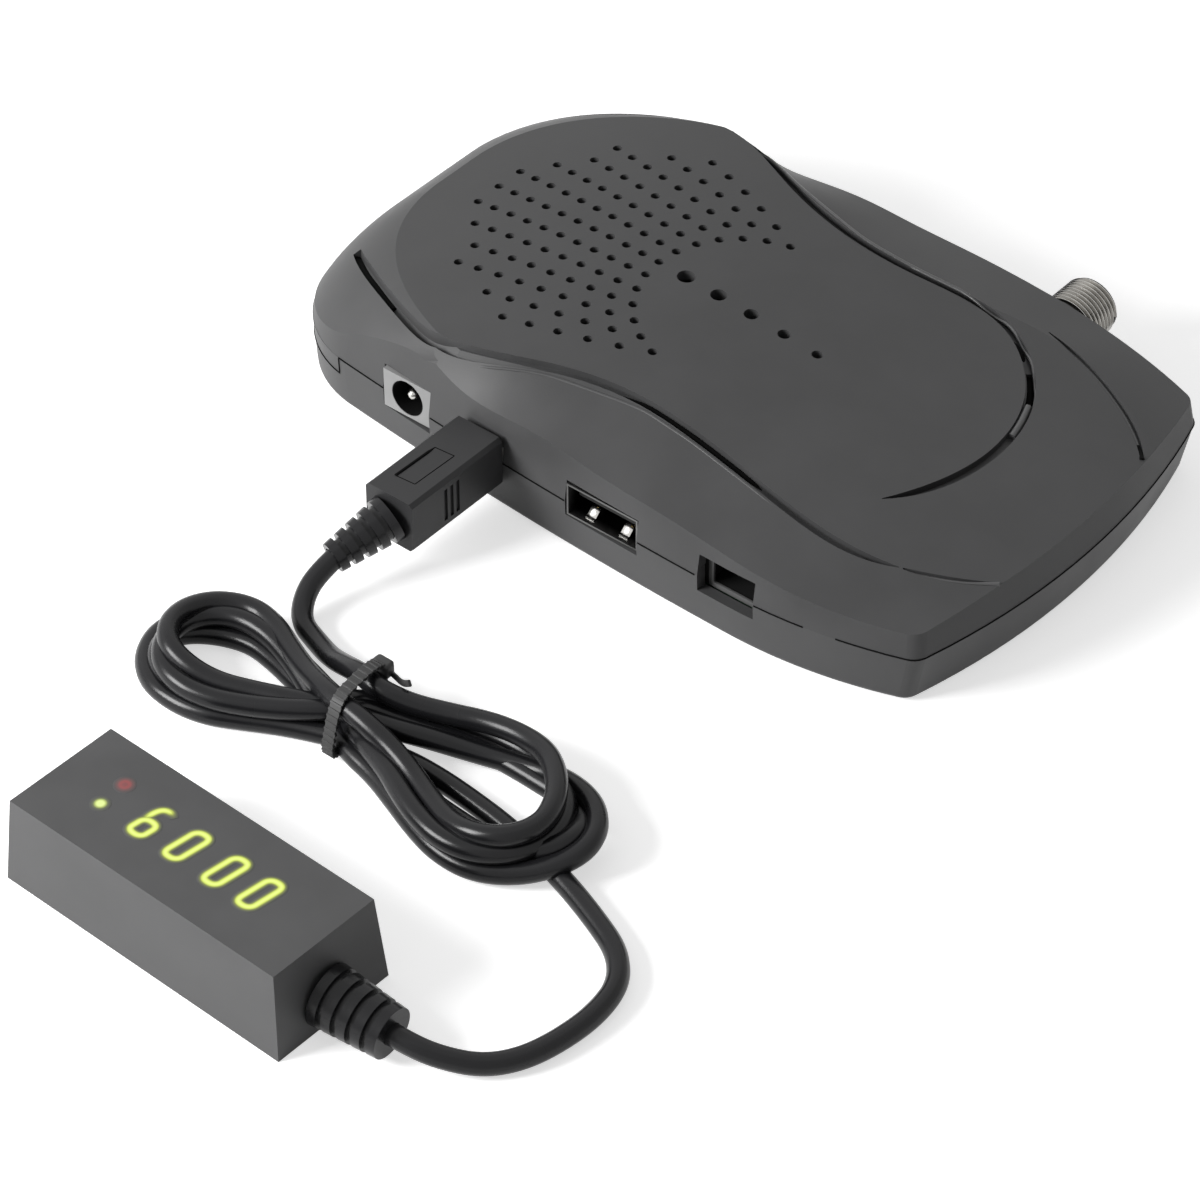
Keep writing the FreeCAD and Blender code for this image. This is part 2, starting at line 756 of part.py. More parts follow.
def make_casing():
    """Both casings, cut from one hollow form so that they meet all along the parting line."""
    wall, under = value("wall"), value("foot_proud")
    parting, lip = value("parting_height"), value("lip_height")
    lower, upper = casing(0, under)
    belly = edges_where(lower, lambda e: e.BoundBox.ZMax < under + 0.01)
    lower = lower.makeFillet(value("belly_fillet"), belly)
    lower_room, upper_room = casing(wall, under + wall)
    openings = port_cuts()
    zone = below_parting()
    shell = lower.fuse(upper).cut([lower_room, upper_room])
    base = shell.common(zone)
    cover = shell.cut(zone)

    # a lip on the lower casing locates the upper one
    step = -value("parting_step_place")
    far = value("body_length")
    clear = step + STEP_PAST
    past_step = block(clear, far, -far, far, parting, parting + 2 * lip)
    middle = wall / 2
    outer = prism(middle + value("lip_clearance"), parting, parting + lip, 0)
    inner = prism(wall, parting - 1, parting + 2 * lip, 0)
    base = base.fuse(outer.cut(inner).common(past_step))
    rebate = prism(middle, parting, parting + lip + value("lip_clearance"), 0)
    slack = block(clear - value("lip_clearance"), clear, -far, far, parting, parting + 2 * lip)
    cover = cover.cut(rebate.common(past_step.fuse(slack)))

    # bosses under the board and pillars over it take the four screws
    board, thick, gap = value("board_height"), value("board_thick"), value("seat_gap")
    clearance = value("(screw_round + screw_clearance)/2")
    bosses, pillars, base_holes, cover_holes = [], [], [], []
    head_hole = value("(screw_head_round + 2*screw_clearance)/2")
    for x, y in corner_places("screw"):
        boss_top = board - gap
        bosses.append(Part.makeCylinder(value("boss_round/2"), boss_top - under - 1, Vector(x, y, under + 1)))
        base_holes.append(Part.makeCylinder(clearance, board + 2, Vector(x, y, under - 1)))
        base_holes.append(Part.makeCylinder(head_hole, value("screw_sink"), Vector(x, y, under)))
        top = Part.makeCylinder(value("pillar_round/2"), 30, Vector(x, y, board + thick + gap))
        pillars.append(top.common(roof(1)).common(shoulder(1)))
        reach = value("screw_sink + screw_reach") + under
        cover_holes.append(Part.makeCylinder(clearance, reach + 0.6 - board, Vector(x, y, board)))
    for x, y in corner_places("foot"):
        sink = value("foot_thick - foot_proud")
        base_holes.append(Part.makeCylinder(value("foot_round/2") + gap, sink, Vector(x, y, under)))
    slot, length = value("floor_slot_width"), value("floor_slot_length")
    for side in (-1, 1):
        for number in range(-4, 5):
            x, y = number * value("floor_slot_pitch") - 4, side * value("floor_slot_place")
            base_holes.append(block(x - slot / 2, x + slot / 2, y - length / 2, y + length / 2, 0, under + 2 * wall))
    base = base.fuse(bosses).cut(base_holes + openings)
    cover = cover.fuse(pillars).cut(cover_holes + openings + roof_cuts() + roof_holes())
    node("lower_casing", feature("lower_casing", base))
    node("upper_casing", feature("upper_casing", cover))


def make_feet_and_screws():
    feet, screws = [], []
    for number, (x, y) in enumerate(corner_places("foot")):
        feet.append(Part.makeCylinder(value("foot_round/2"), value("foot_thick"), Vector(x, y, 0)))
    seat = value("foot_proud + screw_sink")
    for x, y in corner_places("screw"):
        head = Part.makeCylinder(value("screw_head_round/2"), value("screw_head_thick"), Vector(x, y, seat - value("screw_head_thick")))
        shank = Part.makeCylinder(value("screw_round/2"), value("screw_reach"), Vector(x, y, seat))
        screws.append(head.fuse(shank))
    node("rubber_feet", feature("rubber_feet", Part.makeCompound(feet)))
    node("case_screws", feature("case_screws", Part.makeCompound(screws)))


# ---------------------------------------------------------------------------------------------
# Main board and what stands on it
# ---------------------------------------------------------------------------------------------

BOARD_TOP = "board_height + board_thick"
SEAT = BOARD_TOP + " + seat_gap"
TUNER_FRONT = "body_width/2 - tuner_setback"


def make_board():
    """The board follows the casing's outline, notched where the aerial connector passes."""
    low, thick = value("board_height"), value("board_thick")
    plate = prism(value("wall + board_edge_gap"), low, low + thick, 0)
    holes = []
    for x, y in corner_places("screw"):
        holes.append(Part.makeCylinder(value("(screw_round + screw_clearance)/2"), 3 * thick, Vector(x, y, low - thick)))
    front = value(TUNER_FRONT)
    notch = value("aerial_flange/2") + 1
    x = value("aerial_x")
    holes.append(block(x - notch, x + notch, front, front + 20, low - 1, low + 2 * thick))
    node("main_board", feature("main_board", plate.cut(holes)))


def make_chips():
    chip_x, memory_x, flash_x = ("body_length*%s_share" % part for part in ("chip", "memory", "flash"))
    node("main_chip", box("main_chip", "chip_side", "chip_side", "chip_thick", chip_x, "chip_y", SEAT))
    plate_z = SEAT + " + chip_thick + seat_gap"
    fins = [box("sink_base", "sink_side", "sink_side", "sink_plate", chip_x, "chip_y", plate_z)]
    for fin in range(-3, 4):
        x = "%s + %d*sink_fin_pitch" % (chip_x, fin)
        name = "sink_fin_%d" % (fin + 4)
        fins.append(box(name, "sink_fin", "sink_side", "sink_height", x, "chip_y", plate_z))
    node("heat_sink", fuse("heat_sink", *fins))
    memory = box("memory_chip", "memory_length", "memory_width", "memory_thick", memory_x, "memory_y", SEAT)
    node("memory_chip", memory)
    node("program_chip", box("program_chip", "flash_length", "flash_width", "flash_thick", flash_x, "flash_y", SEAT))
    crystal_x, crystal_y = "body_length*crystal_share", "body_width/2 - crystal_side"
    straight = "(crystal_length - crystal_width)"
    can = [box("crystal_middle", straight, "crystal_width", "crystal_height", crystal_x, crystal_y, SEAT)]
    for end in (-1, 1):
        x = "%s + %d*%s/2" % (crystal_x, end, straight)
        can.append(post("crystal_end_%d" % end, "crystal_width", "crystal_height", x, crystal_y, SEAT))
    node("crystal", fuse("crystal", *can))
    coil_x = "body_length*coil_share"
    ring = box("coil_block", "coil_side", "coil_side", "coil_height", coil_x, "coil_y", SEAT)
    well_z = SEAT + " + coil_height - coil_well_depth"
    well = post("coil_well", "coil_well_round", "2*coil_well_depth", coil_x, "coil_y", well_z)
    node("power_coil", cut("power_coil", ring, well))
    cans, regulators = [], []
    for number in range(3):
        y = "capacitor_y + %d*capacitor_pitch" % number
        name = "capacitor_%d" % number
        cans.append(post(name, "capacitor_round", "capacitor_height", "body_length*capacitor_share", y, SEAT))
        x = "body_length*regulator_share + %d*regulator_pitch" % number
        sizes = ("regulator_length", "regulator_width", "regulator_height")
        regulators.append(box("regulator_%d" % number, *sizes, x, "regulator_y", SEAT))
    node("capacitors", group("capacitors", *cans))
    node("regulators", group("regulators", *regulators))


# ---------------------------------------------------------------------------------------------
# Sockets on the near long side: each mouth looks along -Y
# ---------------------------------------------------------------------------------------------


def mouth(x):
    """Expression for the plane of a near socket's mouth, just behind the wall's outer face."""
    return "(port_recess - %s)" % wall_at(x)


def sheet_shell(prefix, label, x, width, tall, depth, y):
    """A drawn sheet-metal socket shell, open at the front: padded block with its room pocketed out."""
    body = doc.addObject("PartDesign::Body", label)
    outer = rectangle(body, prefix + "_outline", "XZ_Plane", width, tall)
    pad(body, prefix + "_pad", outer, depth).Reversed = True
    inner = rectangle(body, prefix + "_room", "XZ_Plane", width + " - 2*metal_sheet", tall + " - 2*metal_sheet")
    doc.recompute()
    pocket(body, prefix + "_pocket", inner, depth + " - metal_sheet", False)
    place(body, x, y, "port_height")
    doc.recompute()
    if body.Shape.Volume > value("(%s)*(%s)*(%s)/2" % (width, tall, depth)):
        raise ValueError(label + " isn't hollow")
    return node(label, body)


def make_power_socket():
    face = mouth("power_x")
    floor = "port_height - power_tall/2"
    case = box("power_block", "power_width", "power_depth", "power_tall", "power_x", face + " + power_depth/2", floor)
    bore = rod("power_hole", "power_bore", "power_bore_depth", "power_x", face, "port_height")
    heel = rod("power_pin_hole", "power_pin", "power_depth", "power_x", face, "port_height")
    node("power_socket", cut("power_socket", case, bore, heel))
    start = face + " + power_bore_depth - power_pin_length"
    shank = rod("power_pin_shank", "power_pin - 0.04", "power_pin_length + 2", "power_x", start, "port_height")
    node("power_pin", shank)
    blade = box("power_blade", "power_width/3", "metal_sheet", "power_tall*0.8", "power_x",
                face + " + power_depth + metal_sheet/2 + seat_gap", floor + " + power_tall*0.1")
    node("power_contact", blade)


def make_lead_socket():
    """The small socket that the display lead plugs into."""
    face = mouth("lead_x")
    sheet_shell("lead", "lead_socket_shell", "lead_x", "lead_width", "lead_tall", "lead_depth", face)
    back = face + " + lead_depth - metal_sheet"
    tongue = box("lead_tongue_block", "lead_tongue_width", "lead_tongue_length", "lead_tongue_thick", "lead_x",
                 back + " - lead_tongue_length/2 - seat_gap", "port_height + 0.35")
    node("lead_socket_tongue", tongue)


def make_host_socket():
    """The open type A socket: shell, tongue and four contact strips under the tongue."""
    face = mouth("host_x")
    sheet_shell("host", "host_socket_shell", "host_x", "host_width", "host_tall", "host_depth", face)
    back = face + " + host_depth - metal_sheet"
    tongue_z = "port_height + 0.2"
    tongue = box("host_tongue", "host_tongue_width", "host_tongue_length", "host_tongue_thick", "host_x",
                 back + " - host_tongue_length/2 - seat_gap", tongue_z)
    node("host_socket_tongue", tongue)
    strips = [
        box("host_contact_%d" % number, "contact_width", "contact_length", "contact_thick",
            "host_x + %s*host_tongue_width/4" % place_in_row,
            back + " - contact_length/2 - host_tongue_length + contact_length + 0.6",
            tongue_z + " - contact_thick - 0.02")
        for number, place_in_row in enumerate((-1.26, -0.36, 0.36, 1.26))
    ]
    node("host_socket_contacts", group("host_socket_contacts", *strips))


def make_service_socket():
    """Modular socket: moulded block with a deep square cavity and a latch slot under it."""
    face = "(wall + service_setback - %s)" % wall_at("service_x")
    case = box("service_block", "service_width", "service_depth", "service_tall", "service_x",
               face + " + service_depth/2", SEAT)
    room = box("service_room", "service_cavity", "service_cavity_depth", "service_cavity_tall", "service_x",
               face + " + service_cavity_depth/2", "port_height - service_cavity_tall/2")
    node("service_socket", cut("service_socket", case, room))
    wires = [
        box("service_wire_%d" % number, "0.5", "service_cavity_depth*0.5", "0.3",
            "service_x + %d*1.02/2" % number, face + " + service_cavity_depth*0.7",
            "port_height + service_cavity_tall/2 - 0.35")
        for number in (-5, -3, -1, 1, 3, 5)
    ]
    node("service_contacts", group("service_contacts", *wires))


# ---------------------------------------------------------------------------------------------
# Far long side: aerial connector, video socket and jack look along +Y
# ---------------------------------------------------------------------------------------------


def make_aerial():
    """Threaded aerial connector on the tuner can, turned about its own axis along +Y."""
    front = value(TUNER_FRONT)
    wall = value("body_width/2")
    free_end = wall + value("aerial_reach")
    step = wall + 0.4
    axis_at = Vector(value("aerial_x"), 0, value("aerial_height"))

    def turned(across, start, end):
        return Part.makeCylinder(across / 2, end - start, axis_at + ALONG * start, ALONG)

    chamfer = value("aerial_chamfer")
    thread = turned(value("aerial_thread"), step, free_end - chamfer)
    lead_in = Part.makeCone(value("aerial_thread/2"), value("aerial_thread/2") - chamfer, chamfer,
                            axis_at + ALONG * (free_end - chamfer), ALONG)
    neck = turned(value("aerial_shoulder"), front, step)
    low = value("board_height + board_thick + seat_gap")
    half = value("aerial_flange/2")
    flange = block(axis_at.x - half, axis_at.x + half, front, front + value("aerial_flange_thick"), low,
                   low + value("tuner_height"))
    bore = turned(value("aerial_bore"), front - 1, free_end + 1)
    barrel = thread.fuse([lead_in, neck, flange]).cut(bore)
    node("aerial_barrel", feature("aerial_barrel", barrel.removeSplitter()))
    insulator_end = free_end - value("aerial_mouth")
    fit = 0.05
    insulator = turned(value("aerial_bore") - fit, front, insulator_end)
    centre = turned(value("aerial_contact") + fit, front - 1, free_end)
    node("aerial_insulator", feature("aerial_insulator", insulator.cut(centre)))
    contact = turned(value("aerial_contact"), front, insulator_end - 0.3)
    contact = contact.cut(turned(value("aerial_contact_bore"), front + 3, free_end))
    node("aerial_contact", feature("aerial_contact", contact))


def make_tuner():
    """Sheet-metal can over the tuner, open at the bottom, with the connector on its far wall."""
    body = doc.addObject("PartDesign::Body", "tuner_can")
    outer = rectangle(body, "tuner_outline", "XY_Plane", "tuner_length", "tuner_width")
    pad(body, "tuner_pad", outer, "tuner_height")
    room = rectangle(body, "tuner_room", "XY_Plane", "tuner_length - 2*tuner_sheet", "tuner_width - 2*tuner_sheet")
    doc.recompute()
    pocket(body, "tuner_pocket", room, "tuner_height - tuner_sheet", True)
    place(body, "aerial_x", TUNER_FRONT + " - tuner_width/2 - seat_gap", SEAT)
    node("tuner_can", body)


def make_video_socket():
    """Video socket: a shell whose lower corners are cut away, and its thin tongue."""
    half, rise, slope = value("video_width/2"), value("video_tall/2"), value("video_slope")
    mouth_y = value("%s - port_recess" % wall_at("video_x"))
    x, z, thin = value("video_x"), value("port_height"), value("metal_sheet")

    def profile(shrink, start, end):
        wide, high, cut_off = half - shrink, rise - shrink, slope
        corners = [(-wide, high), (wide, high), (wide, cut_off - high), (wide - cut_off, -high),
                   (cut_off - wide, -high), (-wide, cut_off - high), (-wide, high)]
        outline = Part.makePolygon([Vector(x + a, start, z + b) for a, b in corners])
        return Part.Face(outline).extrude(ALONG * (end - start))

    depth = value("video_depth")
    shell = profile(0, mouth_y - depth, mouth_y).cut(profile(thin, mouth_y - depth + thin, mouth_y + 1))
    node("video_socket_shell", feature("video_socket_shell", shell))
    tongue = box("video_tongue", "video_tongue_width", "video_tongue_length", "video_tongue_thick", "video_x",
                 "%s - port_recess - video_depth + metal_sheet + seat_gap + video_tongue_length/2" % wall_at("video_x"),
                 "port_height - 0.1")
    node("video_socket_tongue", tongue)


def make_jack():
    """Round jack for sound and picture: block with a nose that fills the wall's hole."""
    wall = wall_at("jack_x")
    mouth_y = "%s - port_recess" % wall
    back = "%s - wall - port_recess - jack_depth" % wall
    case = box("jack_block", "jack_width", "jack_depth", "jack_tall", "jack_x", back + " + jack_depth/2 - 0.4",
               "port_height - jack_tall/2")
    nose = rod("jack_nose_rod", "jack_nose", "wall + 0.8", "jack_x", "%s - wall - 0.8" % mouth_y, "port_height")
    whole = fuse("jack_solid", case, nose)
    bore = rod("jack_hole", "jack_bore", "jack_bore_depth + 1", "jack_x", "%s - jack_bore_depth" % mouth_y, "port_height")
    node("audio_video_jack", cut("audio_video_jack", whole, bore))


# ---------------------------------------------------------------------------------------------
# Plug, sleeves, cord and tie
# ---------------------------------------------------------------------------------------------


def ribbed_sleeve(base, tip, length, bore):
    """A tapering ribbed sleeve along +X from the origin, turned from one stepped profile."""
    rings, notch = int(value("sleeve_rings")), value("sleeve_ring_depth")
    pitch = length / rings
    ring = 0.62 * pitch
    slope = (tip - base) / 2 / length
    points = [Vector(0, 0, bore / 2), Vector(0, 0, base / 2)]
    for number in range(rings):
        start = number * pitch
        for x, sink in ((start, 0), (start + ring, 0), (start + ring, notch), (start + pitch, notch)):
            if number < rings - 1 or x <= start + ring + 0.001 and sink == 0:
                points.append(Vector(x, 0, base / 2 + slope * x - sink))
    points.append(Vector(points[-1].x, 0, bore / 2))
    unique = [points[0]]
    for point in points[1:]:
        if (point - unique[-1]).Length > 0.001:
            unique.append(point)
    face = Part.Face(Part.makePolygon(unique + [unique[0]]))
    return face.revolve(Vector(), Vector(1, 0, 0), 360)


def make_plug():
    """The moulded plug: grip, metal shell with its insert, and contact strips."""
    body = doc.addObject("PartDesign::Body", "plug_grip")
    outline = rectangle(body, "grip_outline", "XZ_Plane", "plug_width", "plug_tall")
    pad(body, "grip_pad", outline, "plug_length")
    doc.recompute()
    solid = body.Tip
    bevel = body.newObject("PartDesign::Chamfer", "grip_chamfer")
    bevel.Base = (solid, ["Edge%d" % number for number, edge in enumerate(solid.Shape.Edges, 1)
                          if edge.BoundBox.YLength > 1])
    bind(bevel, {"Size": "plug_edge"})
    for number in range(6):
        side, row = ("-", "")[number % 2], number // 2
        groove = rectangle(body, "grip_rib_%d" % number, "XY_Plane", "2*grip_rib_depth", "grip_rib_width",
                           side + "plug_width/2", "-(plug_length/2 + %d*grip_rib_gap)" % row)
        doc.recompute()
        pocket(body, "grip_groove_%d" % number, groove, "plug_tall - 3", False).Midplane = True
    place(body, "lead_x", "-plug_front", "plug_middle")
    node("plug_grip", body)


def tube_path(points):
    """Straight runs joined by arcs, each as large as its two runs allow; returns edges and radii."""
    edges, radii, last = [], [], points[0]
    for before, corner, after in zip(points, points[1:], points[2:]):
        come, leave = (corner - before), (after - corner)
        shorter = min(come.Length, leave.Length)
        come.normalize()
        leave.normalize()
        turn = come.getAngle(leave)
        reach = 0.45 * shorter
        radii.append(reach / math.tan(turn / 2))
        start, end = corner - come * reach, corner + leave * reach
        inward = (leave - come).normalize()
        middle = corner + inward * (radii[-1] * (1 / math.cos(turn / 2) - 1))
        edges.append(Part.LineSegment(last, start).toShape())
        edges.append(arc(start, middle, end))
        last = end
    edges.append(Part.LineSegment(last, points[-1]).toShape())
    return edges, radii


def cord_tube(label, points):
    """A stretch of the cord as a tube; prints its bends and checks its volume."""
    edges, radii = tube_path(points)
    path = Part.Wire(edges)
    radius = value("cord_round/2")
    section = Part.Face(Part.Wire(Part.makeCircle(radius, points[0], points[1] - points[0])))
    tube = path.makePipe(section)
    if tube.ShapeType != "Solid":
        tube = tube.Solids[0]
    expected = math.pi * radius ** 2 * path.Length
    if abs(tube.Volume / expected - 1) > 0.01:
        raise ValueError("%s: volume %.1f, expected %.1f" % (label, tube.Volume, expected))
    print("%s: length %.1f, bend radii" % (label, path.Length), [round(r, 1) for r in radii])
    return tube


# Route of the cord where it isn't bundled, from a little beyond each sleeve's tip to the bundle.
ROUTE_DISPLAY = [
    Vector(52.6, -127.3, 2.7),
    Vector(57, -124.4, 1.75),
    Vector(60.1, -120.3, 1.65),
    Vector(61.8, -114.8, 1.65),
    Vector(62.5, -108.2, 1.65),
    Vector(61.6, -102.3, 1.65),
    Vector(58.4, -97.9, 1.65),
    Vector(53, -95, 1.65),
    Vector(46.8, -92.5, 1.65),
    Vector(40.8, -90.5, 1.65),
]
ROUTE_PLUG = [
    Vector(-22.3, -72.6, 2.9),
    Vector(-20.2, -75.9, 1.65),
    Vector(-15.7, -77.9, 1.65),
    Vector(-11.2, -79.6, 1.65),
]
# Outer edge of the tied figure-of-eight, and the two eyes in it, as seen from above.
BUNDLE_EDGE = [
    (-35, -86.5), (-32.5, -80), (-26.5, -76.3), (-19, -76.7), (-10, -79.2), (-1, -80.6),
    (8, -77.2), (20, -72.6), (28, -74.2), (37.5, -77.1), (43.6, -86), (41, -95.2),
    (31, -100.8), (20, -98.7), (8, -93.4), (0, -92.2), (-10, -97.5), (-20, -101), (-29, -98.6),
]
EYE_HEAD = [(-26, -90.6), (-20.5, -85.6), (-15, -84.6), (-9, -86.6), (-14, -90), (-21, -92)]
EYE_TAIL = [(13.8, -85.9), (17, -83.9), (23, -81.8), (29, -80.3), (31.9, -83.8), (30.5, -87.6), (24, -87.2), (17, -86.9)]


def looped(points, height):
    """A smooth closed outline through points, raised to height."""
    curve = Part.BSplineCurve()
    curve.interpolate([Vector(x, y, 0) for x, y in points], True)
    return Part.Face(Part.Wire(curve.toShape())).extrude(UP * height)


def make_plug_front():
    """Metal shell and insulating insert that enter the small socket."""
    x, z = value("lead_x"), value("port_height")
    wide, tall, thin = value("plug_shell_width"), value("plug_shell_tall"), value("plug_sheet")
    start = -value("plug_front")
    end = start + value("plug_insert")
    outer = block(x - wide / 2, x + wide / 2, start, end, z - tall / 2, z + tall / 2)
    room = block(x - wide / 2 + thin, x + wide / 2 - thin, start - 1, end + 1, z - tall / 2 + thin, z + tall / 2 - thin)
    node("plug_shell", feature("plug_shell", outer.cut(room)))
    low = z - tall / 2 + thin
    gap = 0.02
    insert = block(x - wide / 2 + thin + gap, x + wide / 2 - thin - gap, start, end - 0.2, low + gap, low + 1.1)
    node("plug_insert", feature("plug_insert", insert))
    strips = []
    for number in range(5):
        middle = x + (number - 2) * 0.8
        strips.append(block(middle - 0.2, middle + 0.2, start, end - 0.6, low + 1.12, low + 1.22))
    node("plug_contacts", feature("plug_contacts", Part.makeCompound(strips)))


def sleeve_frame(x, y, z, yaw, dip):
    """Placement that turns a sleeve made along +X to its own direction."""
    turn = Rotation(UP, yaw) * Rotation(ALONG, dip)
    return Placement(Vector(x, y, z), turn)


def unit_frame():
    return Placement(Vector(value("unit_x"), value("unit_y"), 0), Rotation(UP, value("unit_turn")))


def make_cord():
    """Both sleeves, both open stretches of the cord, the bundle and its tie."""
    bore = value("cord_round + sleeve_gap")
    lead_frame = sleeve_frame(value("lead_x"), -value("plug_front + plug_length"), value("plug_middle"),
                              -90 - value("lead_sleeve_yaw"), value("lead_sleeve_dip"))
    lead_sleeve = ribbed_sleeve(value("lead_sleeve_base"), value("lead_sleeve_tip"), value("lead_sleeve_length"), bore)
    lead_sleeve.Placement = lead_frame
    plug_face = -value("plug_front + plug_length")
    behind = block(-40, 10, plug_face, 0, -20, 40)
    lead_sleeve = lead_sleeve.cut(behind)
    node("plug_sleeve", feature("plug_sleeve", lead_sleeve))

    unit = unit_frame()
    draft = math.tan(math.radians(value("unit_draft")))
    face_x = value("unit_length/2") - value("unit_sleeve_height") * draft
    local = sleeve_frame(face_x, value("unit_sleeve_y"), value("unit_sleeve_height"),
                         value("unit_sleeve_yaw"), value("unit_sleeve_dip"))
    unit_sleeve = ribbed_sleeve(value("unit_sleeve_base"), value("unit_sleeve_tip"), value("unit_sleeve_length"), bore)
    unit_sleeve.Placement = unit * local
    node("display_sleeve", feature("display_sleeve", unit_sleeve.cut(unit_block(1))))

    def leaving(frame, length):
        """First two points of a run: inside the sleeve, and past its tip on the sleeve's own axis."""
        held, free = value("cord_held"), value("cord_free")
        return [frame.multVec(Vector(length - held, 0, 0)), frame.multVec(Vector(length + free, 0, 0))]

    plug_run = cord_tube("cord_plug_run", leaving(lead_frame, value("lead_sleeve_length")) + ROUTE_PLUG)
    display_run = cord_tube(
        "cord_display_run", leaving(unit * local, value("unit_sleeve_length")) + ROUTE_DISPLAY
    )

    height = value("bundle_height")
    bundle = looped(BUNDLE_EDGE, height)
    bundle = bundle.cut([looped(EYE_HEAD, 2 * height), looped(EYE_TAIL, 2 * height)])
    tie = tie_ring()
    bundle = bundle.cut(tie)
    node("cord_bundle", feature("cord_bundle", bundle))
    node("cord_tie", feature("cord_tie", tie))
    node("cord_plug_run", feature("cord_plug_run", plug_run.cut(bundle)))
    node("cord_display_run", feature("cord_display_run", display_run.cut(bundle)))


TIE_AT = Vector(0.6, -86.2, 0)


def tie_ring():
    """The wire tie: a flat ring round the crossing of the figure-of-eight, standing on the surface."""
    wide, wall = value("tie_width"), value("tie_wall")
    tall, span = value("tie_height"), value("tie_span")
    outer = block(-wide / 2, wide / 2, -span / 2, span / 2, 0, tall)
    inner = block(-wide, wide, wall - span / 2, span / 2 - wall, wall, tall - wall)
    corners = edges_where(outer, lambda e: abs(e.BoundBox.XLength - wide) < 0.01)
    ring = outer.makeFillet(2, corners).cut(inner)
    ring.Placement = Placement(TIE_AT, Rotation(UP, value("tie_turn")))
    return ring


# ---------------------------------------------------------------------------------------------
# Display unit
# ---------------------------------------------------------------------------------------------


def unit_block(grow):
    """The display housing's outer form without its hollow, for trimming what meets it."""
    half_x, half_y, tall = value("unit_length/2"), value("unit_width/2"), value("unit_height")
    lean = tall * math.tan(math.radians(value("unit_draft")))

    def ring(drawn, z):
        x, y = half_x - drawn, half_y - drawn
        return Part.makePolygon([Vector(-x, -y, z), Vector(x, -y, z), Vector(x, y, z), Vector(-x, y, z), Vector(-x, -y, z)])

    solid = Part.makeLoft([ring(0, 0), ring(lean, tall)], True, True)
    solid.Placement = unit_frame()
    return solid


def make_display():
    """Drafted housing, open below, with its base plate, board, digit module, lamps and eye."""
    body = doc.addObject("PartDesign::Body", "display_housing")
    outline = rectangle(body, "unit_outline", "XY_Plane", "unit_length", "unit_width")
    pad(body, "unit_pad", outline, "unit_height", "-unit_draft")
    doc.recompute()
    room = rectangle(body, "unit_room", "XY_Plane", "unit_length - 2*unit_wall", "unit_width - 2*unit_wall")
    pocket(body, "unit_pocket", room, "unit_height - unit_wall", True, "-unit_draft")
    doc.recompute()
    body.Placement = unit_frame()
    node("display_housing", body)


def make_display_inside():
    """What the housing holds, each piece set in the housing's own frame."""
    draft = math.tan(math.radians(value("unit_draft")))
    gap, frame = value("seat_gap"), unit_frame()
    long, wide, wall = value("unit_length"), value("unit_width"), value("unit_wall")

    def lying(label, length, width, height, x, y, z):
        made = feature(label, block(x - length / 2, x + length / 2, y - width / 2, y + width / 2, z, z + height), frame)
        return node(label, made)

    plate, recess = value("unit_plate"), value("unit_plate_recess")
    drawn = 2 * (wall + (plate + recess) * draft + gap)
    board_z, thick = value("unit_board_height"), value("unit_board_thick")
    half_long, half_wide = (long - drawn) / 2, (wide - drawn) / 2
    base = block(-half_long, half_long, -half_wide, half_wide, recess, recess + plate)
    for x in (-1, 1):
        for y in (-1, 1):
            at = Vector(x * value("unit_post_x"), y * value("unit_post_y"), recess)
            base = base.fuse(Part.makeCylinder(value("unit_post_round/2"), board_z - gap - recess, at))
    node("display_base_plate", feature("display_base_plate", base, frame))
    lying("display_board", value("unit_board_length"), value("unit_board_width"), thick, 0, 0, board_z)
    on_board = board_z + thick + gap
    lying("digit_module", value("module_length"), value("module_width"), value("module_height"),
          value("module_x"), value("module_y"), on_board)
    lying("driver_chip", value("driver_length"), value("driver_width"), value("driver_thick"), 0, 0,
          board_z - gap - value("driver_thick"))
    lying("infrared_eye", value("eye_thick"), value("eye_side"), value("eye_tall"), value("eye_x"), 0, on_board)
    for label, shift in (("green_lamp", 0), ("red_lamp", 1)):
        at = Vector(value("lamp_x"), value("lamp_y") + shift * value("lamp_pitch"), on_board)
        radius, tall = value("lamp_round/2"), value("lamp_height")
        stem = Part.makeCylinder(radius, tall - radius, at)
        dome = Part.makeSphere(radius, at + UP * (tall - radius))
        node(label, feature(label, stem.fuse(dome).removeSplitter(), frame))


# ---------------------------------------------------------------------------------------------
# Build, check and write
# ---------------------------------------------------------------------------------------------


def check(item):
    """Stops the build if an object failed or its shape isn't sound."""
    doubts = {"Invalid", "Error"} & set(item.State)
    shape = getattr(item, "Shape", None)
    if doubts or (item in NODES.values() and (shape.isNull() or not shape.isValid() or not shape.Solids)):
        raise ValueError("%s did not build: %s" % (item.Label, sorted(doubts)))


def main():
    make_casing()
    make_feet_and_screws()
    make_board()
    make_chips()
    make_power_socket()
    make_lead_socket()
    make_host_socket()
    make_service_socket()
    make_aerial()
    make_tuner()
    make_video_socket()
    make_jack()
    make_plug()
    make_plug_front()
    make_cord()
    make_display()
    make_display_inside()
    doc.recompute()
    for item in doc.Objects:
        check(item)
    os.makedirs("parts", exist_ok=True)
    for label, item in NODES.items():
        item.Shape.exportStep(os.path.join("parts", label + ".step"))
    print("%d nodes" % len(NODES))


main()
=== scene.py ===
import math

import bpy
from mathutils import Matrix, Vector


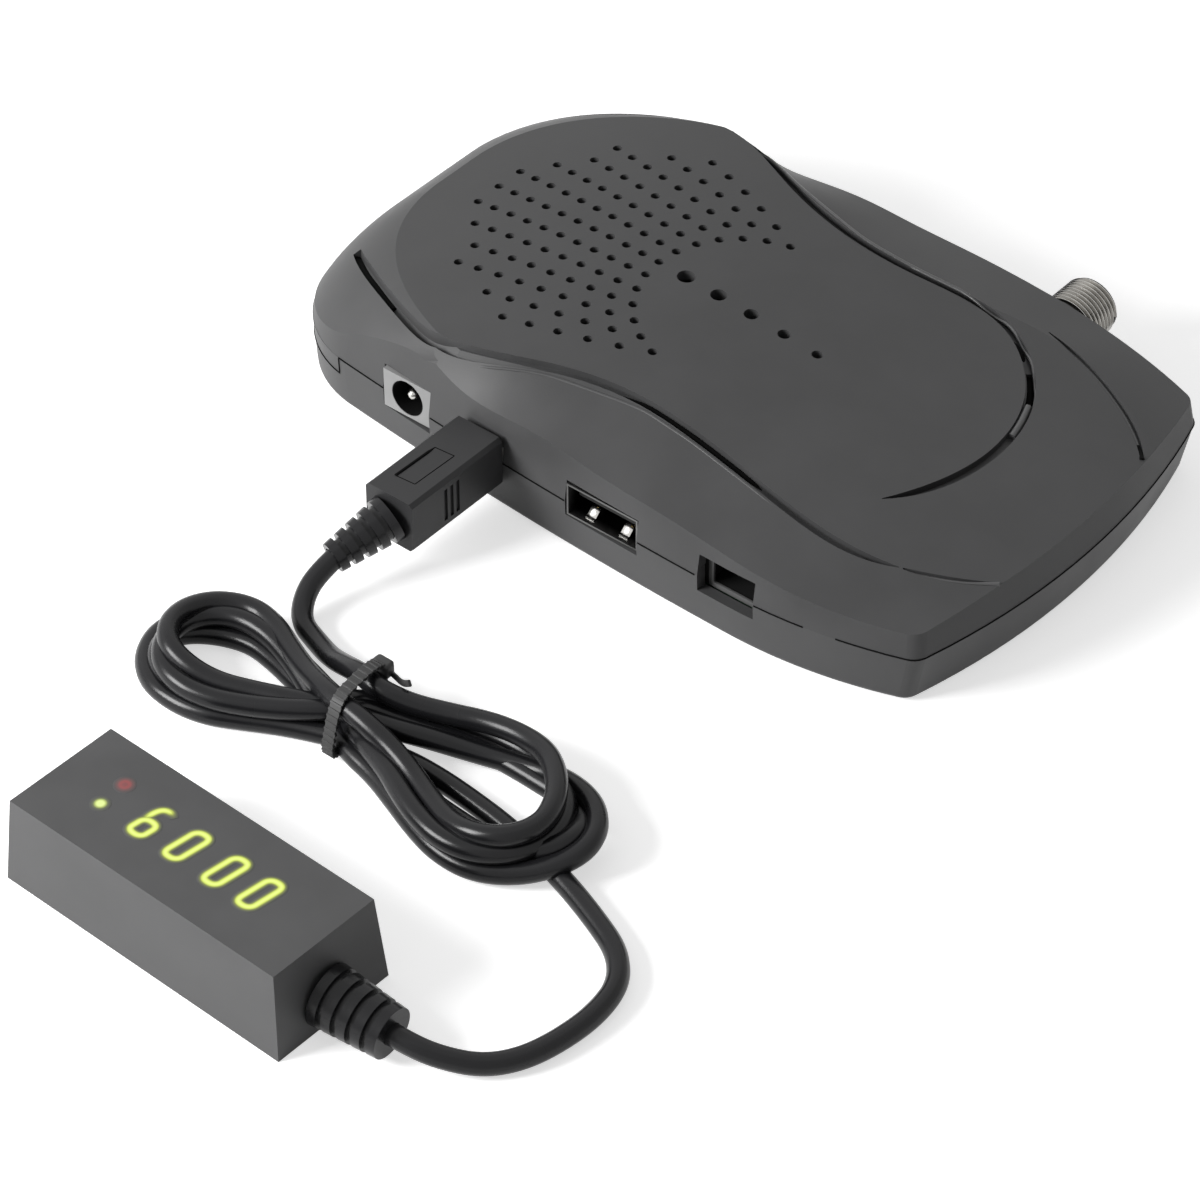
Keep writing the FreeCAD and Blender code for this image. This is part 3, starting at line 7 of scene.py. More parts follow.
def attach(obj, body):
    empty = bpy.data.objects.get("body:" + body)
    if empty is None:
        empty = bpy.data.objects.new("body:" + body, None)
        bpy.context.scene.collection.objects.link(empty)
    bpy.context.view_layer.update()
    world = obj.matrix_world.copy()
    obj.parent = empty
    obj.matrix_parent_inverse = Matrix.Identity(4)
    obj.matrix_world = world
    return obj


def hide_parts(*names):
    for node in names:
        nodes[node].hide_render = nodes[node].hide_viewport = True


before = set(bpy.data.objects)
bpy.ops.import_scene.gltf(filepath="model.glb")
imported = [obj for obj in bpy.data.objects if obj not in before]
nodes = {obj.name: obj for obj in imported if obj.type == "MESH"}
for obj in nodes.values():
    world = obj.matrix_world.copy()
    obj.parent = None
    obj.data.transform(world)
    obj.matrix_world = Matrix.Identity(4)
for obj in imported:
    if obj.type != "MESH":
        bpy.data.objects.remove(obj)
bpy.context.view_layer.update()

MM = 0.001

# ---------------------------------------------------------------------------------------------
# Camera
# ---------------------------------------------------------------------------------------------

CAMERA_AZIMUTH = math.radians(39.662)
CAMERA_ELEVATION = math.radians(41.596)
CAMERA_DISTANCE = 663.86 * MM
CAMERA_AIM = Vector((10.225, -44.162, 0)) * MM
CAMERA_LENS = 139.54


def set_camera():
    away = Vector((
        math.sin(CAMERA_AZIMUTH) * math.cos(CAMERA_ELEVATION),
        -math.cos(CAMERA_AZIMUTH) * math.cos(CAMERA_ELEVATION),
        math.sin(CAMERA_ELEVATION),
    ))
    turn = (math.pi / 2 - CAMERA_ELEVATION, 0, CAMERA_AZIMUTH)
    bpy.ops.object.camera_add(location=CAMERA_AIM + away * CAMERA_DISTANCE, rotation=turn)
    camera = bpy.context.object
    camera.name = "product_camera"
    camera.data.lens = CAMERA_LENS
    camera.data.sensor_width = 36
    camera.data.clip_start = 0.01
    bpy.context.scene.camera = camera


# ---------------------------------------------------------------------------------------------
# Tools of the bench: naming, settling, modifiers, riding
# ---------------------------------------------------------------------------------------------


def clear():
    """Leaves edit mode and deselects everything."""
    if bpy.context.object and bpy.context.object.mode != "OBJECT":
        bpy.ops.object.mode_set(mode="OBJECT")
    bpy.ops.object.select_all(action="DESELECT")


def pick(*pieces):
    """Selects these objects alone, the last one active."""
    clear()
    for piece in pieces:
        piece.select_set(True)
        bpy.context.view_layer.objects.active = piece


def take(name):
    """Names the object that was just added."""
    made = bpy.context.object
    made.name = name
    made.data.name = name
    return made


def settle(piece, place=None):
    """Moves the piece to its place, and writes that place into its mesh."""
    if place is not None:
        piece.matrix_world = place @ piece.matrix_world
    pick(piece)
    bpy.ops.object.transform_apply(location=True, rotation=True, scale=True)
    return piece


def pressed(piece, share):
    """Presses the piece flat to a share of its height."""
    for vertex in piece.data.vertices:
        vertex.co.z *= share
    return piece


def modify(piece, kind, **settings):
    """Adds a modifier to the piece and applies it."""
    pick(piece)
    modifier = piece.modifiers.new(kind.lower(), kind)
    for key, setting in settings.items():
        setattr(modifier, key, setting)
    bpy.ops.object.modifier_apply(modifier=modifier.name)
    return piece


def to_mesh(piece):
    pick(piece)
    bpy.ops.object.convert(target="MESH")
    return bpy.context.object


def joined(name, *parts):
    """One piece made of several."""
    pick(*parts)
    bpy.ops.object.join()
    return take(name)


def smooth(piece, degrees=35):
    pick(piece)
    bpy.ops.object.shade_smooth_by_angle(angle=math.radians(degrees))


def tidy_shell(piece, reach=0.00001):
    """Merges doubles and turns every face outwards."""
    pick(piece)
    bpy.ops.object.mode_set(mode="EDIT")
    bpy.ops.mesh.select_all(action="SELECT")
    bpy.ops.mesh.remove_doubles(threshold=reach)
    bpy.ops.mesh.normals_make_consistent(inside=False)
    bpy.ops.object.mode_set(mode="OBJECT")


def turned_ring(name, outline, steps=56):
    """A closed outline of (radius, place along the axis), turned round the axis."""
    clear()
    bpy.ops.mesh.primitive_circle_add(vertices=len(outline), radius=1, fill_type="NOTHING")
    ring = take(name)
    for vertex, (radius, along) in zip(ring.data.vertices, outline):
        vertex.co = Vector((radius, 0, along)) * MM
    modify(ring, "SCREW", angle=math.tau, steps=steps, render_steps=steps, axis="Z")
    tidy_shell(ring)
    return ring


def give(piece, finish, body):
    """A new piece's material, and the body that carries it."""
    piece.data.materials.clear()
    piece.data.materials.append(finish)
    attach(piece, body)


# ---------------------------------------------------------------------------------------------
# Finishes
# ---------------------------------------------------------------------------------------------


def new_finish(name, colour, **sockets):
    """A material, with its shader's plain settings."""
    finish = bpy.data.materials.new(name)
    finish.use_nodes = True
    shader = finish.node_tree.nodes["Principled BSDF"]
    shader.inputs["Base Color"].default_value = (*colour, 1)
    for socket, amount in sockets.items():
        shader.inputs[socket.replace("_", " ")].default_value = amount
    return finish


def add(finish, kind, **values):
    """A node in the finish's tree. A value goes to its socket of that name, or else to its own setting."""
    node = finish.node_tree.nodes.new(kind)
    for key, amount in values.items():
        words = key.replace("_", " ")
        socket = next((s for s in node.inputs if s.name.lower() == words), None)
        if socket:
            socket.default_value = amount
        else:
            setattr(node, key, amount)
    return node


def wire(finish, output, target):
    finish.node_tree.links.new(output, target)


def shader_of(finish):
    return finish.node_tree.nodes["Principled BSDF"]


def object_place(finish):
    return add(finish, "ShaderNodeTexCoord").outputs["Object"]


def noise(finish, size, detail=2.0, stretch=None):
    """A cloudy pattern whose blots are about size across."""
    pattern = add(finish, "ShaderNodeTexNoise", scale=1 / size, detail=detail)
    place = object_place(finish)
    if stretch:
        mapping = add(finish, "ShaderNodeMapping", scale=stretch)
        wire(finish, place, mapping.inputs["Vector"])
        place = mapping.outputs["Vector"]
    wire(finish, place, pattern.inputs["Vector"])
    return pattern.outputs["Fac"]


def tint(finish, factor, low, high, first=0.35, last=0.65):
    """A colour ramp from low to high along a factor."""
    ramp = add(finish, "ShaderNodeValToRGB")
    ramp.color_ramp.elements[0].position = first
    ramp.color_ramp.elements[1].position = last
    ramp.color_ramp.elements[0].color = (*low, 1)
    ramp.color_ramp.elements[1].color = (*high, 1)
    wire(finish, factor, ramp.inputs["Fac"])
    return ramp.outputs["Color"]


def spread(finish, factor, low, high):
    """A number that moves between low and high along a factor."""
    ranged = add(finish, "ShaderNodeMapRange")
    ranged.inputs["From Min"].default_value = 0.3
    ranged.inputs["From Max"].default_value = 0.7
    ranged.inputs["To Min"].default_value = low
    ranged.inputs["To Max"].default_value = high
    wire(finish, factor, ranged.inputs["Value"])
    return ranged.outputs["Result"]


def raise_by(finish, height, depth, strength=1.0):
    """A relief of that depth, in metres, on the shader."""
    bump = add(finish, "ShaderNodeBump", strength=strength, distance=depth)
    wire(finish, height, bump.inputs["Height"])
    wire(finish, bump.outputs["Normal"], shader_of(finish).inputs["Normal"])


def scaled(colour, factor):
    return tuple(min(1, c * factor) for c in colour)


def moulded(name, colour, grain=0.3 * MM, depth=0.012 * MM, rough=(0.42, 0.56), drift=0.1, **sockets):
    """Spark-textured moulded plastic: a fine grain, and a slow drift of its tone and polish."""
    finish = new_finish(name, colour, **sockets)
    shader = shader_of(finish)
    cloud = noise(finish, 14 * MM, 3)
    speck = noise(finish, grain, 2)
    shade = tint(finish, cloud, scaled(colour, 1 - drift), scaled(colour, 1 + drift))
    wire(finish, shade, shader.inputs["Base Color"])
    wire(finish, spread(finish, cloud, *rough), shader.inputs["Roughness"])
    raise_by(finish, speck, depth)
    return finish


def plated(name, colour, rough=(0.16, 0.32), stretch=(1, 1, 1), drift=0.08):
    """Plated or bare metal with faint drawing lines and a few duller blots."""
    finish = new_finish(name, colour, Metallic=1.0)
    shader = shader_of(finish)
    cloud = noise(finish, 3 * MM, 4)
    lines = noise(finish, 0.25 * MM, 3, stretch)
    shade = tint(finish, cloud, scaled(colour, 1 - drift), scaled(colour, 1 + drift))
    wire(finish, shade, shader.inputs["Base Color"])
    wire(finish, spread(finish, lines, *rough), shader.inputs["Roughness"])
    raise_by(finish, lines, 0.003 * MM)
    return finish


def circuit_board(name):
    """Solder mask over copper tracks that run square to each other, with bare pads here and there."""
    green, track = (0.008, 0.06, 0.022), (0.018, 0.12, 0.045)
    finish = new_finish(name, green, Roughness=0.32)
    shader = shader_of(finish)
    place = object_place(finish)
    tracks = add(finish, "ShaderNodeTexBrick", scale=160.0, mortar_size=0.06, brick_width=1.7, row_height=0.4)
    tracks.inputs["Color1"].default_value = (*green, 1)
    tracks.inputs["Color2"].default_value = (*scaled(green, 1.25), 1)
    tracks.inputs["Mortar"].default_value = (*track, 1)
    wire(finish, place, tracks.inputs["Vector"])
    pads = add(finish, "ShaderNodeTexVoronoi", scale=260.0)
    wire(finish, place, pads.inputs["Vector"])
    bare = add(finish, "ShaderNodeMath", operation="LESS_THAN")
    bare.inputs[1].default_value = 0.13
    wire(finish, pads.outputs["Distance"], bare.inputs[0])
    colour = add(finish, "ShaderNodeMix", data_type="RGBA")
    under, over = [socket for socket in colour.inputs if socket.type == "RGBA"]
    over.default_value = (0.55, 0.56, 0.55, 1)
    wire(finish, bare.outputs["Value"], colour.inputs["Factor"])
    wire(finish, tracks.outputs["Color"], under)
    mixed = next(socket for socket in colour.outputs if socket.type == "RGBA")
    wire(finish, mixed, shader.inputs["Base Color"])
    wire(finish, spread(finish, noise(finish, 4 * MM), 0.28, 0.42), shader.inputs["Roughness"])
    raise_by(finish, tracks.outputs["Fac"], 0.03 * MM)
    return finish


def share_along(finish, axis, low, high):
    """0 at the place low on an axis and 1 at the place high, both in millimetres."""
    apart = add(finish, "ShaderNodeSeparateXYZ")
    wire(finish, object_place(finish), apart.inputs["Vector"])
    ranged = add(finish, "ShaderNodeMapRange")
    ranged.inputs["From Min"].default_value = low * MM
    ranged.inputs["From Max"].default_value = high * MM
    wire(finish, apart.outputs[axis], ranged.inputs["Value"])
    return ranged.outputs["Result"]


def shining(name, stops):
    """Light that shines through the lid: brightest along the piece's crown, and fading at its rim."""
    finish = moulded(name, UNIT, grain=0.22 * MM, depth=0.002 * MM, rough=(0.44, 0.56), **DULL)
    shader = shader_of(finish)
    ramp = add(finish, "ShaderNodeValToRGB")
    stages = ramp.color_ramp.elements
    for stop in stops[1:-1]:
        stages.new(stop[0])
    for stage, (position, colour) in zip(stages, stops):
        stage.position = position
        stage.color = (*colour, 1)
    wire(finish, share_along(finish, "Z", LID_TOP, LID_TOP + LIGHT_PROUD), ramp.inputs["Fac"])
    wire(finish, ramp.outputs["Color"], shader.inputs["Emission Color"])
    shader.inputs["Emission Strength"].default_value = 1.0
    return finish


def lens(name, colour, strength):
    """A lamp's clear tinted body, lit from inside."""
    finish = new_finish(name, colour, Roughness=0.2)
    shader = shader_of(finish)
    shader.inputs["Emission Strength"].default_value = strength
    cloud = noise(finish, 0.8 * MM)
    wire(finish, tint(finish, cloud, scaled(colour, 0.6), colour), shader.inputs["Emission Color"])
    wire(finish, spread(finish, cloud, 0.15, 0.25), shader.inputs["Roughness"])
    return finish


def metal_with_painted_depth_shade(name, colour, mouth, depth, rough):
    """Metal with painted shade: bright at a socket's mouth, its colour falls to near black behind it; mouth
    is a place along Y.
    """
    finish = new_finish(name, colour, Metallic=1.0)
    shader = shader_of(finish)
    inwards = share_along(finish, "Y", mouth, mouth + depth)
    # Painted shade: the base colour darkens from the mouth to 6 per cent of itself at depth.
    shade = tint(finish, inwards, colour, scaled(colour, 0.06), 0.0, 1.0)
    wire(finish, shade, shader.inputs["Base Color"])
    wire(finish, spread(finish, noise(finish, 0.6 * MM), *rough), shader.inputs["Roughness"])
    return finish


CASE = (0.056, 0.056, 0.057)
UNIT = (0.066, 0.066, 0.067)
CORD = (0.009, 0.009, 0.010)
DULL = {"Specular_IOR_Level": 0.28}
LID_TOP = 14.2
LIGHT_PROUD = 0.06

case_plastic = moulded(
    "charcoal_case_plastic", CASE, grain=0.28 * MM, depth=0.010 * MM, rough=(0.42, 0.54), **DULL
)
# A lighter, glossier copy of the case plastic: its lighter colour is a painted highlight, on the far
# channel's rim, the two creases and the far slot's floor.
painted_highlight_plastic = moulded(
    "case_plastic_painted_highlight", scaled(CASE, 1.15), grain=0.28 * MM, depth=0.004 * MM, rough=(0.26, 0.34)
)
# Near-black with almost no reflection: painted shadow, put where there is only shade, in the roof's channels
# and slots, the parting seam, the power socket's bore and round the plug grip's panel.
painted_shadow_black = moulded("shadow_gap_black", (0.004, 0.004, 0.004), rough=(0.7, 0.85), Specular_IOR_Level=0.05)
unit_plastic = moulded(
    "smoked_display_plastic", UNIT, grain=0.22 * MM, depth=0.006 * MM, rough=(0.44, 0.56), **DULL
)
cord_plastic = moulded(
    "soft_cord_jacket", CORD, grain=0.5 * MM, depth=0.008 * MM, rough=(0.22, 0.30), Specular_IOR_Level=0.24
)
grip_plastic = moulded(
    "plug_overmould", (0.026, 0.026, 0.027), grain=0.25 * MM, depth=0.010 * MM, rough=(0.42, 0.55), **DULL
)
tie_plastic = moulded(
    "tie_strap_plastic", (0.045, 0.045, 0.045), grain=0.4 * MM, depth=0.02 * MM, rough=(0.42, 0.55), **DULL
)
foot_rubber = moulded(
    "foot_rubber", (0.014, 0.014, 0.014), grain=0.2 * MM, depth=0.03 * MM, rough=(0.75, 0.9), **DULL
)
black_plastic = moulded("black_insert_plastic", (0.008, 0.008, 0.008), rough=(0.45, 0.6), **DULL)
socket_face = moulded("grey_socket_plastic", (0.26, 0.26, 0.26), grain=0.2 * MM, rough=(0.4, 0.5), **DULL)
white_plastic = moulded("white_insulator", (0.72, 0.71, 0.68), rough=(0.4, 0.5), drift=0.04)
chip_plastic = moulded(
    "chip_package", (0.018, 0.018, 0.018), grain=0.12 * MM, depth=0.015 * MM, rough=(0.55, 0.7)
)
ferrite = moulded(
    "ferrite_block", (0.035, 0.033, 0.032), grain=0.15 * MM, depth=0.04 * MM, rough=(0.6, 0.8)
)
capacitor_sleeve = moulded("capacitor_sleeve", (0.015, 0.018, 0.035), rough=(0.25, 0.35))
display_black = moulded("display_black", (0.012, 0.012, 0.012), rough=(0.15, 0.25))
eye_black = moulded("infrared_eye_black", (0.012, 0.008, 0.010), rough=(0.08, 0.16))
plated_steel = plated("plated_steel", (0.42, 0.42, 0.41), rough=(0.3, 0.42))
# The type A socket's shell: steel with painted shade, dark behind its mouth.
shell_steel_painted_shade = metal_with_painted_depth_shade("socket_metal_painted_shade", (0.16, 0.16, 0.158), -38.5, 1.6, (0.3, 0.42))
nickel = plated("bright_nickel", (0.52, 0.51, 0.49), rough=(0.14, 0.24), stretch=(0.1, 1, 0.1))
service_grey = moulded("service_socket_grey", (0.10, 0.10, 0.10), grain=0.2 * MM, rough=(0.4, 0.5), **DULL)
# Nickel darkened to near black for the aerial's barrel and plate: a painted dark reflection, and painted
# shade between the thread's turns.
nickel_painted_near_black = plated("aerial_nickel_painted_dark", (0.05, 0.05, 0.048), rough=(0.3, 0.45))
gold_plate = plated("gold_plate", (0.80, 0.58, 0.24), stretch=(1, 0.1, 1))
zinc_steel = plated("zinc_steel", (0.48, 0.49, 0.50), rough=(0.3, 0.45))
black_aluminium = plated("black_anodised", (0.035, 0.035, 0.038), rough=(0.4, 0.55))
lamp_green = lens("green_lamp_lens", (0.45, 0.6, 0.05), 0.8)
lamp_red = lens("red_lamp_lens", (0.50, 0.03, 0.02), 0.6)
digit_light = shining("digit_light", (
    (0.0, (0, 0, 0)), (0.45, (0.008, 0.010, 0)), (0.68, (0.045, 0.055, 0)),
    (0.82, (0.15, 0.18, 0.002)), (0.905, (0.42, 0.50, 0.02)), (0.955, (0.70, 0.84, 0.10)),
    (0.988, (0.80, 0.93, 0.18)),
))
green_light = shining("green_lamp_light", (
    (0.0, (0, 0, 0)), (0.55, (0.014, 0.017, 0.001)), (0.76, (0.07, 0.09, 0.008)),
    (0.86, (0.34, 0.42, 0.06)), (0.92, (0.62, 0.76, 0.18)), (0.96, (0.74, 0.88, 0.26)),
))
red_light = shining("red_lamp_light", (
    (0.0, (0, 0, 0)), (0.5, (0.018, 0.002, 0.001)), (0.76, (0.08, 0.007, 0.005)),
    (0.88, (0.20, 0.006, 0.005)), (0.945, (0.24, 0.0, 0.0)), (0.98, (0.17, 0.0, 0.0)),
))
board_green = circuit_board("green_circuit_board")

FINISHES = {
    "case_plastic": case_plastic,
    "unit_plastic": unit_plastic,
    "cord_plastic": cord_plastic,
    "foot_rubber": foot_rubber,
    "black_plastic": black_plastic,
    "socket_face": socket_face,
    "white_plastic": white_plastic,
    "circuit_board": board_green,
    "plated_steel": plated_steel,
    "nickel": nickel,
    "gold_plate": gold_plate,
    "zinc_steel": zinc_steel,
    "black_aluminium": black_aluminium,
    "chip_plastic": chip_plastic,
    "ferrite": ferrite,
    "capacitor_sleeve": capacitor_sleeve,
    "display_black": display_black,
    "lamp_green": lamp_green,
    "lamp_red": lamp_red,
    "eye_black": eye_black,
}


def dress_nodes():
    """Every node of the frame gets the finish of its slot."""
    for node in nodes.values():
        for number, old in enumerate(node.data.materials):
            node.data.materials[number] = FINISHES[old.name.split(".")[0]]
    nodes["plug_grip"].data.materials[0] = grip_plastic
    # The type A socket's shell takes the steel with painted shade in its depth.
    nodes["host_socket_shell"].data.materials[0] = shell_steel_painted_shade


# ---------------------------------------------------------------------------------------------
# The lead: one cord from the display's sleeve, four turns of a figure-of-eight, to the plug
# ---------------------------------------------------------------------------------------------

CORD_DIAMETER = 3.2 * MM

# Each run is in millimetres, in the order in which the cord passes.
FROM_DISPLAY = [
    (44.6, -129.06, 4.03), (48.5, -128.83, 3.72), (52.6, -127.3, 2.7), (57, -124.4, 1.75),
    (60.1, -120.3, 1.65), (61.8, -114.8, 1.65), (62.5, -108.2, 1.65), (61.4, -102, 1.65),
    (57.5, -97.6, 1.65), (51.5, -94.9, 1.65), (44.2, -92.2, 1.65), (37, -90.2, 1.65), (30.1, -88.9, 1.65),
    (24, -88.2, 1.65), (18.5, -87.8, 1.65), (13, -87.9, 1.7), (7.8, -88.9, 1.8), (3, -90.2, 1.8),
]
LEFT_FIRST = [
    (-1.8, -91.8, 1.7), (-6.6, -93.9, 1.65), (-11, -96.4, 1.65), (-15.4, -98.7, 1.65),
    (-20.4, -99.6, 1.65), (-25.8, -98.9, 1.65), (-30, -95.9, 1.65), (-32.2, -91.2, 1.65),
    (-31.6, -86.6, 1.65), (-28.8, -83.2, 1.65), (-24.4, -81.2, 1.65), (-18.4, -81.2, 1.65),
    (-12.6, -82.6, 1.65), (-6.4, -84.2, 1.7), (-0.8, -86.4, 1.8),
]
RIGHT_FIRST = [
    (3.6, -89.2, 3.2), (8, -91.2, 4.3), (13.2, -93.1, 4.6), (18, -95.6, 4.6), (22.6, -97.5, 4.6),
    (27.6, -98.7, 4.6), (32.6, -98, 4.6), (36.6, -95.2, 4.6), (38.9, -91, 4.6), (38.6, -86.2, 4.6),
    (36, -82, 4.3), (31.8, -78.9, 3.4), (26.6, -76.7, 2.2), (21, -76, 1.7), (15.2, -77.2, 1.7),
    (9.6, -79.4, 2.2), (4.6, -82.4, 4),
]
LEFT_SECOND = [
    (0, -86.4, 4.7), (-4.6, -90, 3.2), (-9.6, -92.7, 1.8), (-14.8, -95.2, 1.65), (-19.6, -97.2, 2),
    (-24.3, -97.6, 3), (-28, -95.3, 3.4), (-29.7, -91.6, 2.6), (-28.7, -88.1, 1.9), (-25.2, -85.4, 1.65),
    (-20.4, -83.9, 1.65), (-15.2, -84.6, 1.65), (-9.8, -86, 1.7), (-4, -87.2, 1.7), (1, -87.2, 1.7),
]
RIGHT_SECOND = [
    (6, -88.9, 1.7), (11, -90.3, 1.7), (16.4, -91.6, 1.65), (22, -92.2, 1.65), (27.4, -92.5, 1.65),
    (32.6, -92.9, 2.2), (36.8, -92.9, 3.5), (40.4, -90.7, 4.5), (41.4, -86.9, 4.6), (39.8, -83, 3.4),
    (35.6, -79.9, 2), (30.4, -79.6, 1.65), (25, -79.4, 1.65), (19, -79.6, 1.65), (12.8, -81.2, 1.9),
    (7.2, -83.9, 3.4), (3, -86.3, 4.7),
]
LEFT_THIRD = [
    (-1.6, -90.6, 4.8), (-5.6, -93.4, 4.6), (-10.2, -96.1, 4.5), (-15.2, -98.3, 4.5), (-20.4, -99, 4.9),
    (-25, -97.4, 5.2), (-28, -93.6, 5), (-28.8, -89.2, 4.6), (-27, -85.4, 4.5), (-22.8, -83.1, 4.5),
    (-17.4, -83.2, 4.4), (-12.4, -84.6, 3.9), (-8, -86.2, 3.2), (-3.6, -88.2, 2.2), (0.8, -90, 1.9),
]
RIGHT_THIRD = [
    (5.4, -91.8, 1.8), (10.6, -92.8, 1.65), (16, -94.8, 1.65), (21.6, -97, 1.65), (27.2, -98.6, 1.65),
    (33, -98.4, 1.65), (38.4, -95.4, 2), (42.6, -91.6, 3.6), (44.2, -87.6, 4.7), (42.6, -83.4, 4.8),
    (38.8, -80.2, 4.6), (34, -78.9, 4), (29, -78.1, 2.4), (24, -79, 1.8), (18, -81, 1.9),
    (12.8, -84, 3.4), (8.2, -86.8, 4.6), (3.4, -87.9, 4.7),
]
LEFT_FOURTH = [
    (-1.6, -89.3, 4.7), (-6.4, -91.5, 4.7), (-11.4, -93.6, 4.7), (-16.2, -95.5, 4.9), (-20.8, -96.4, 6),
    (-25, -95.8, 7), (-28.2, -92.4, 6.9), (-29, -87.8, 6.3), (-27.2, -83.2, 5.4), (-22.8, -80.7, 4.9),
    (-17.6, -81.6, 4.9), (-12.6, -84, 5), (-7.4, -86.4, 5.6), (-2.4, -88.4, 6.9),
]
RIGHT_FOURTH = [
    (2.6, -89.8, 7.6), (7.2, -90.4, 7.3), (11.8, -90.6, 5.9), (16.6, -91.8, 4.9), (21.6, -93.9, 4.8),
    (26.8, -96, 5.4), (31.8, -96.7, 6.5), (36.2, -95, 7.3), (38.5, -90.8, 7.6), (37.2, -86, 7.6),
    (34.2, -82, 7.4), (29.8, -78.6, 6.8), (24.4, -77.3, 5.9), (18.6, -77.7, 5.2), (13, -79.8, 5),
    (8.2, -82.5, 5.9), (3.8, -84.2, 7.4),
]
TO_PLUG = [
    (-0.4, -82.9, 6.9), (-4.6, -81.6, 5), (-9, -79.9, 2.8), (-13.8, -77.8, 1.7), (-17.8, -76.4, 1.8),
    (-20.1, -73.6, 2.95), (-20.7, -70, 5), (-19.61, -65.96, 7.03),
]
LEAD = (
    FROM_DISPLAY + LEFT_FIRST + RIGHT_FIRST + LEFT_SECOND + RIGHT_SECOND + LEFT_THIRD + RIGHT_THIRD
    + LEFT_FOURTH + RIGHT_FOURTH + TO_PLUG
)


def make_lead():
    line = bpy.data.curves.new("lead_cord", "CURVE")
    line.dimensions = "3D"
    line.bevel_depth = CORD_DIAMETER / 2
    line.bevel_resolution = 5
    line.resolution_u = 8
    line.use_fill_caps = True
    spline = line.splines.new("NURBS")
    spline.points.add(len(LEAD) - 1)
    for point, (x, y, z) in zip(spline.points, LEAD):
        point.co = (x * MM, y * MM, z * MM, 1)
    spline.order_u = 3
    spline.use_endpoint_u = True
    spline.use_smooth = True
    lead = bpy.data.objects.new("lead_cord", line)
    bpy.context.collection.objects.link(lead)
    give(lead, cord_plastic, "display_lead")
    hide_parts("cord_plug_run", "cord_bundle", "cord_display_run")
    return lead


# ---------------------------------------------------------------------------------------------
# The tie round the bundle
# ---------------------------------------------------------------------------------------------

TIE_PLACE = Matrix.Translation(Vector((2.2, 0, 0)) * MM)
TIE_MIDDLE = -87
TIE_LEAN = math.radians(5)
TIE_LOOP = [
    (-90, 0.5), (-93.3, 0.6), (-94.0, 2.0), (-93.2, 4.6), (-92.2, 7.6), (-90.6, 9.9), (-87, 10.1),
    (-83.4, 10.1), (-81.2, 9.3), (-80.6, 7.2), (-81.4, 4.2), (-82.6, 1.6), (-84.6, 0.5),
]
STRAP_HALF_WIDTH = 1.0
STRAP_THICK = 0.6
STRAP_RIB_RISE = 0.16
STRAP_RIB_EVERY = 3
TIE_HEAD_MIDDLE = (1.75, -80.9, 8.0)
TIE_HEAD_SIZE = (3.0, 2.1, 2.6)
TIE_TAIL_ROUND, TIE_TAIL_HALF_WIDTH = 0.22, 0.3
TIE_TAIL = [(2.6, -80.6, 7.5), (3.8, -80.5, 7.0), (5.0, -80.9, 7.1), (6.2, -81.3, 7.7), (7.3, -81.5, 8.6)]


def make_strap():
    """A closed band through the loop's (y, z) places, leaning a little, with ribs across it."""
    clear()
    bpy.ops.curve.primitive_nurbs_path_add()
    strap = take("wire_tie")
    path = strap.data.splines[0]
    path.points.add(len(TIE_LOOP) - len(path.points))
    for point, (along, up) in zip(path.points, TIE_LOOP):
        point.co = (along * MM, up * MM, 0, 1)
    path.order_u = 3
    path.use_endpoint_u = False
    path.use_cyclic_u = True
    strap.data.resolution_u = 9
    strap.data.extrude = STRAP_HALF_WIDTH * MM
    strap = to_mesh(strap)
    for vertex in strap.data.vertices:
        along, up, across = vertex.co
        lean = math.tan(TIE_LEAN) * (along / MM - TIE_MIDDLE)
        vertex.co = Vector((across - lean * MM, along, up))
    tidy_shell(strap)
    pick(strap)
    bpy.ops.object.mode_set(mode="EDIT")
    bpy.ops.mesh.select_all(action="DESELECT")
    bpy.ops.object.mode_set(mode="OBJECT")
    for number, face in enumerate(strap.data.polygons):
        face.select = number % STRAP_RIB_EVERY == 0
    bpy.ops.object.mode_set(mode="EDIT")
    bpy.ops.mesh.extrude_region_shrink_fatten(TRANSFORM_OT_shrink_fatten={"value": STRAP_RIB_RISE * MM})
    bpy.ops.object.mode_set(mode="OBJECT")
    modify(strap, "SOLIDIFY", thickness=STRAP_THICK * MM, offset=-1)
    modify(strap, "BEVEL", width=0.06 * MM, segments=1, limit_method="ANGLE")
    settle(strap, TIE_PLACE)
    smooth(strap, 40)
    give(strap, tie_plastic, "display_lead")
    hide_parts("cord_tie")
    return strap


def make_tie_head():
    """The strap's block on the far side of the bundle."""
    clear()
    bpy.ops.mesh.primitive_cube_add(size=1)
    head = take("tie_head")
    for vertex in head.data.vertices:
        place = [middle + size * c for middle, size, c in zip(TIE_HEAD_MIDDLE, TIE_HEAD_SIZE, vertex.co)]
        vertex.co = Vector(place) * MM
    modify(head, "BEVEL", width=0.55 * MM, segments=4)
    settle(head)
    smooth(head, 40)
    give(head, tie_plastic, "display_lead")
    return head


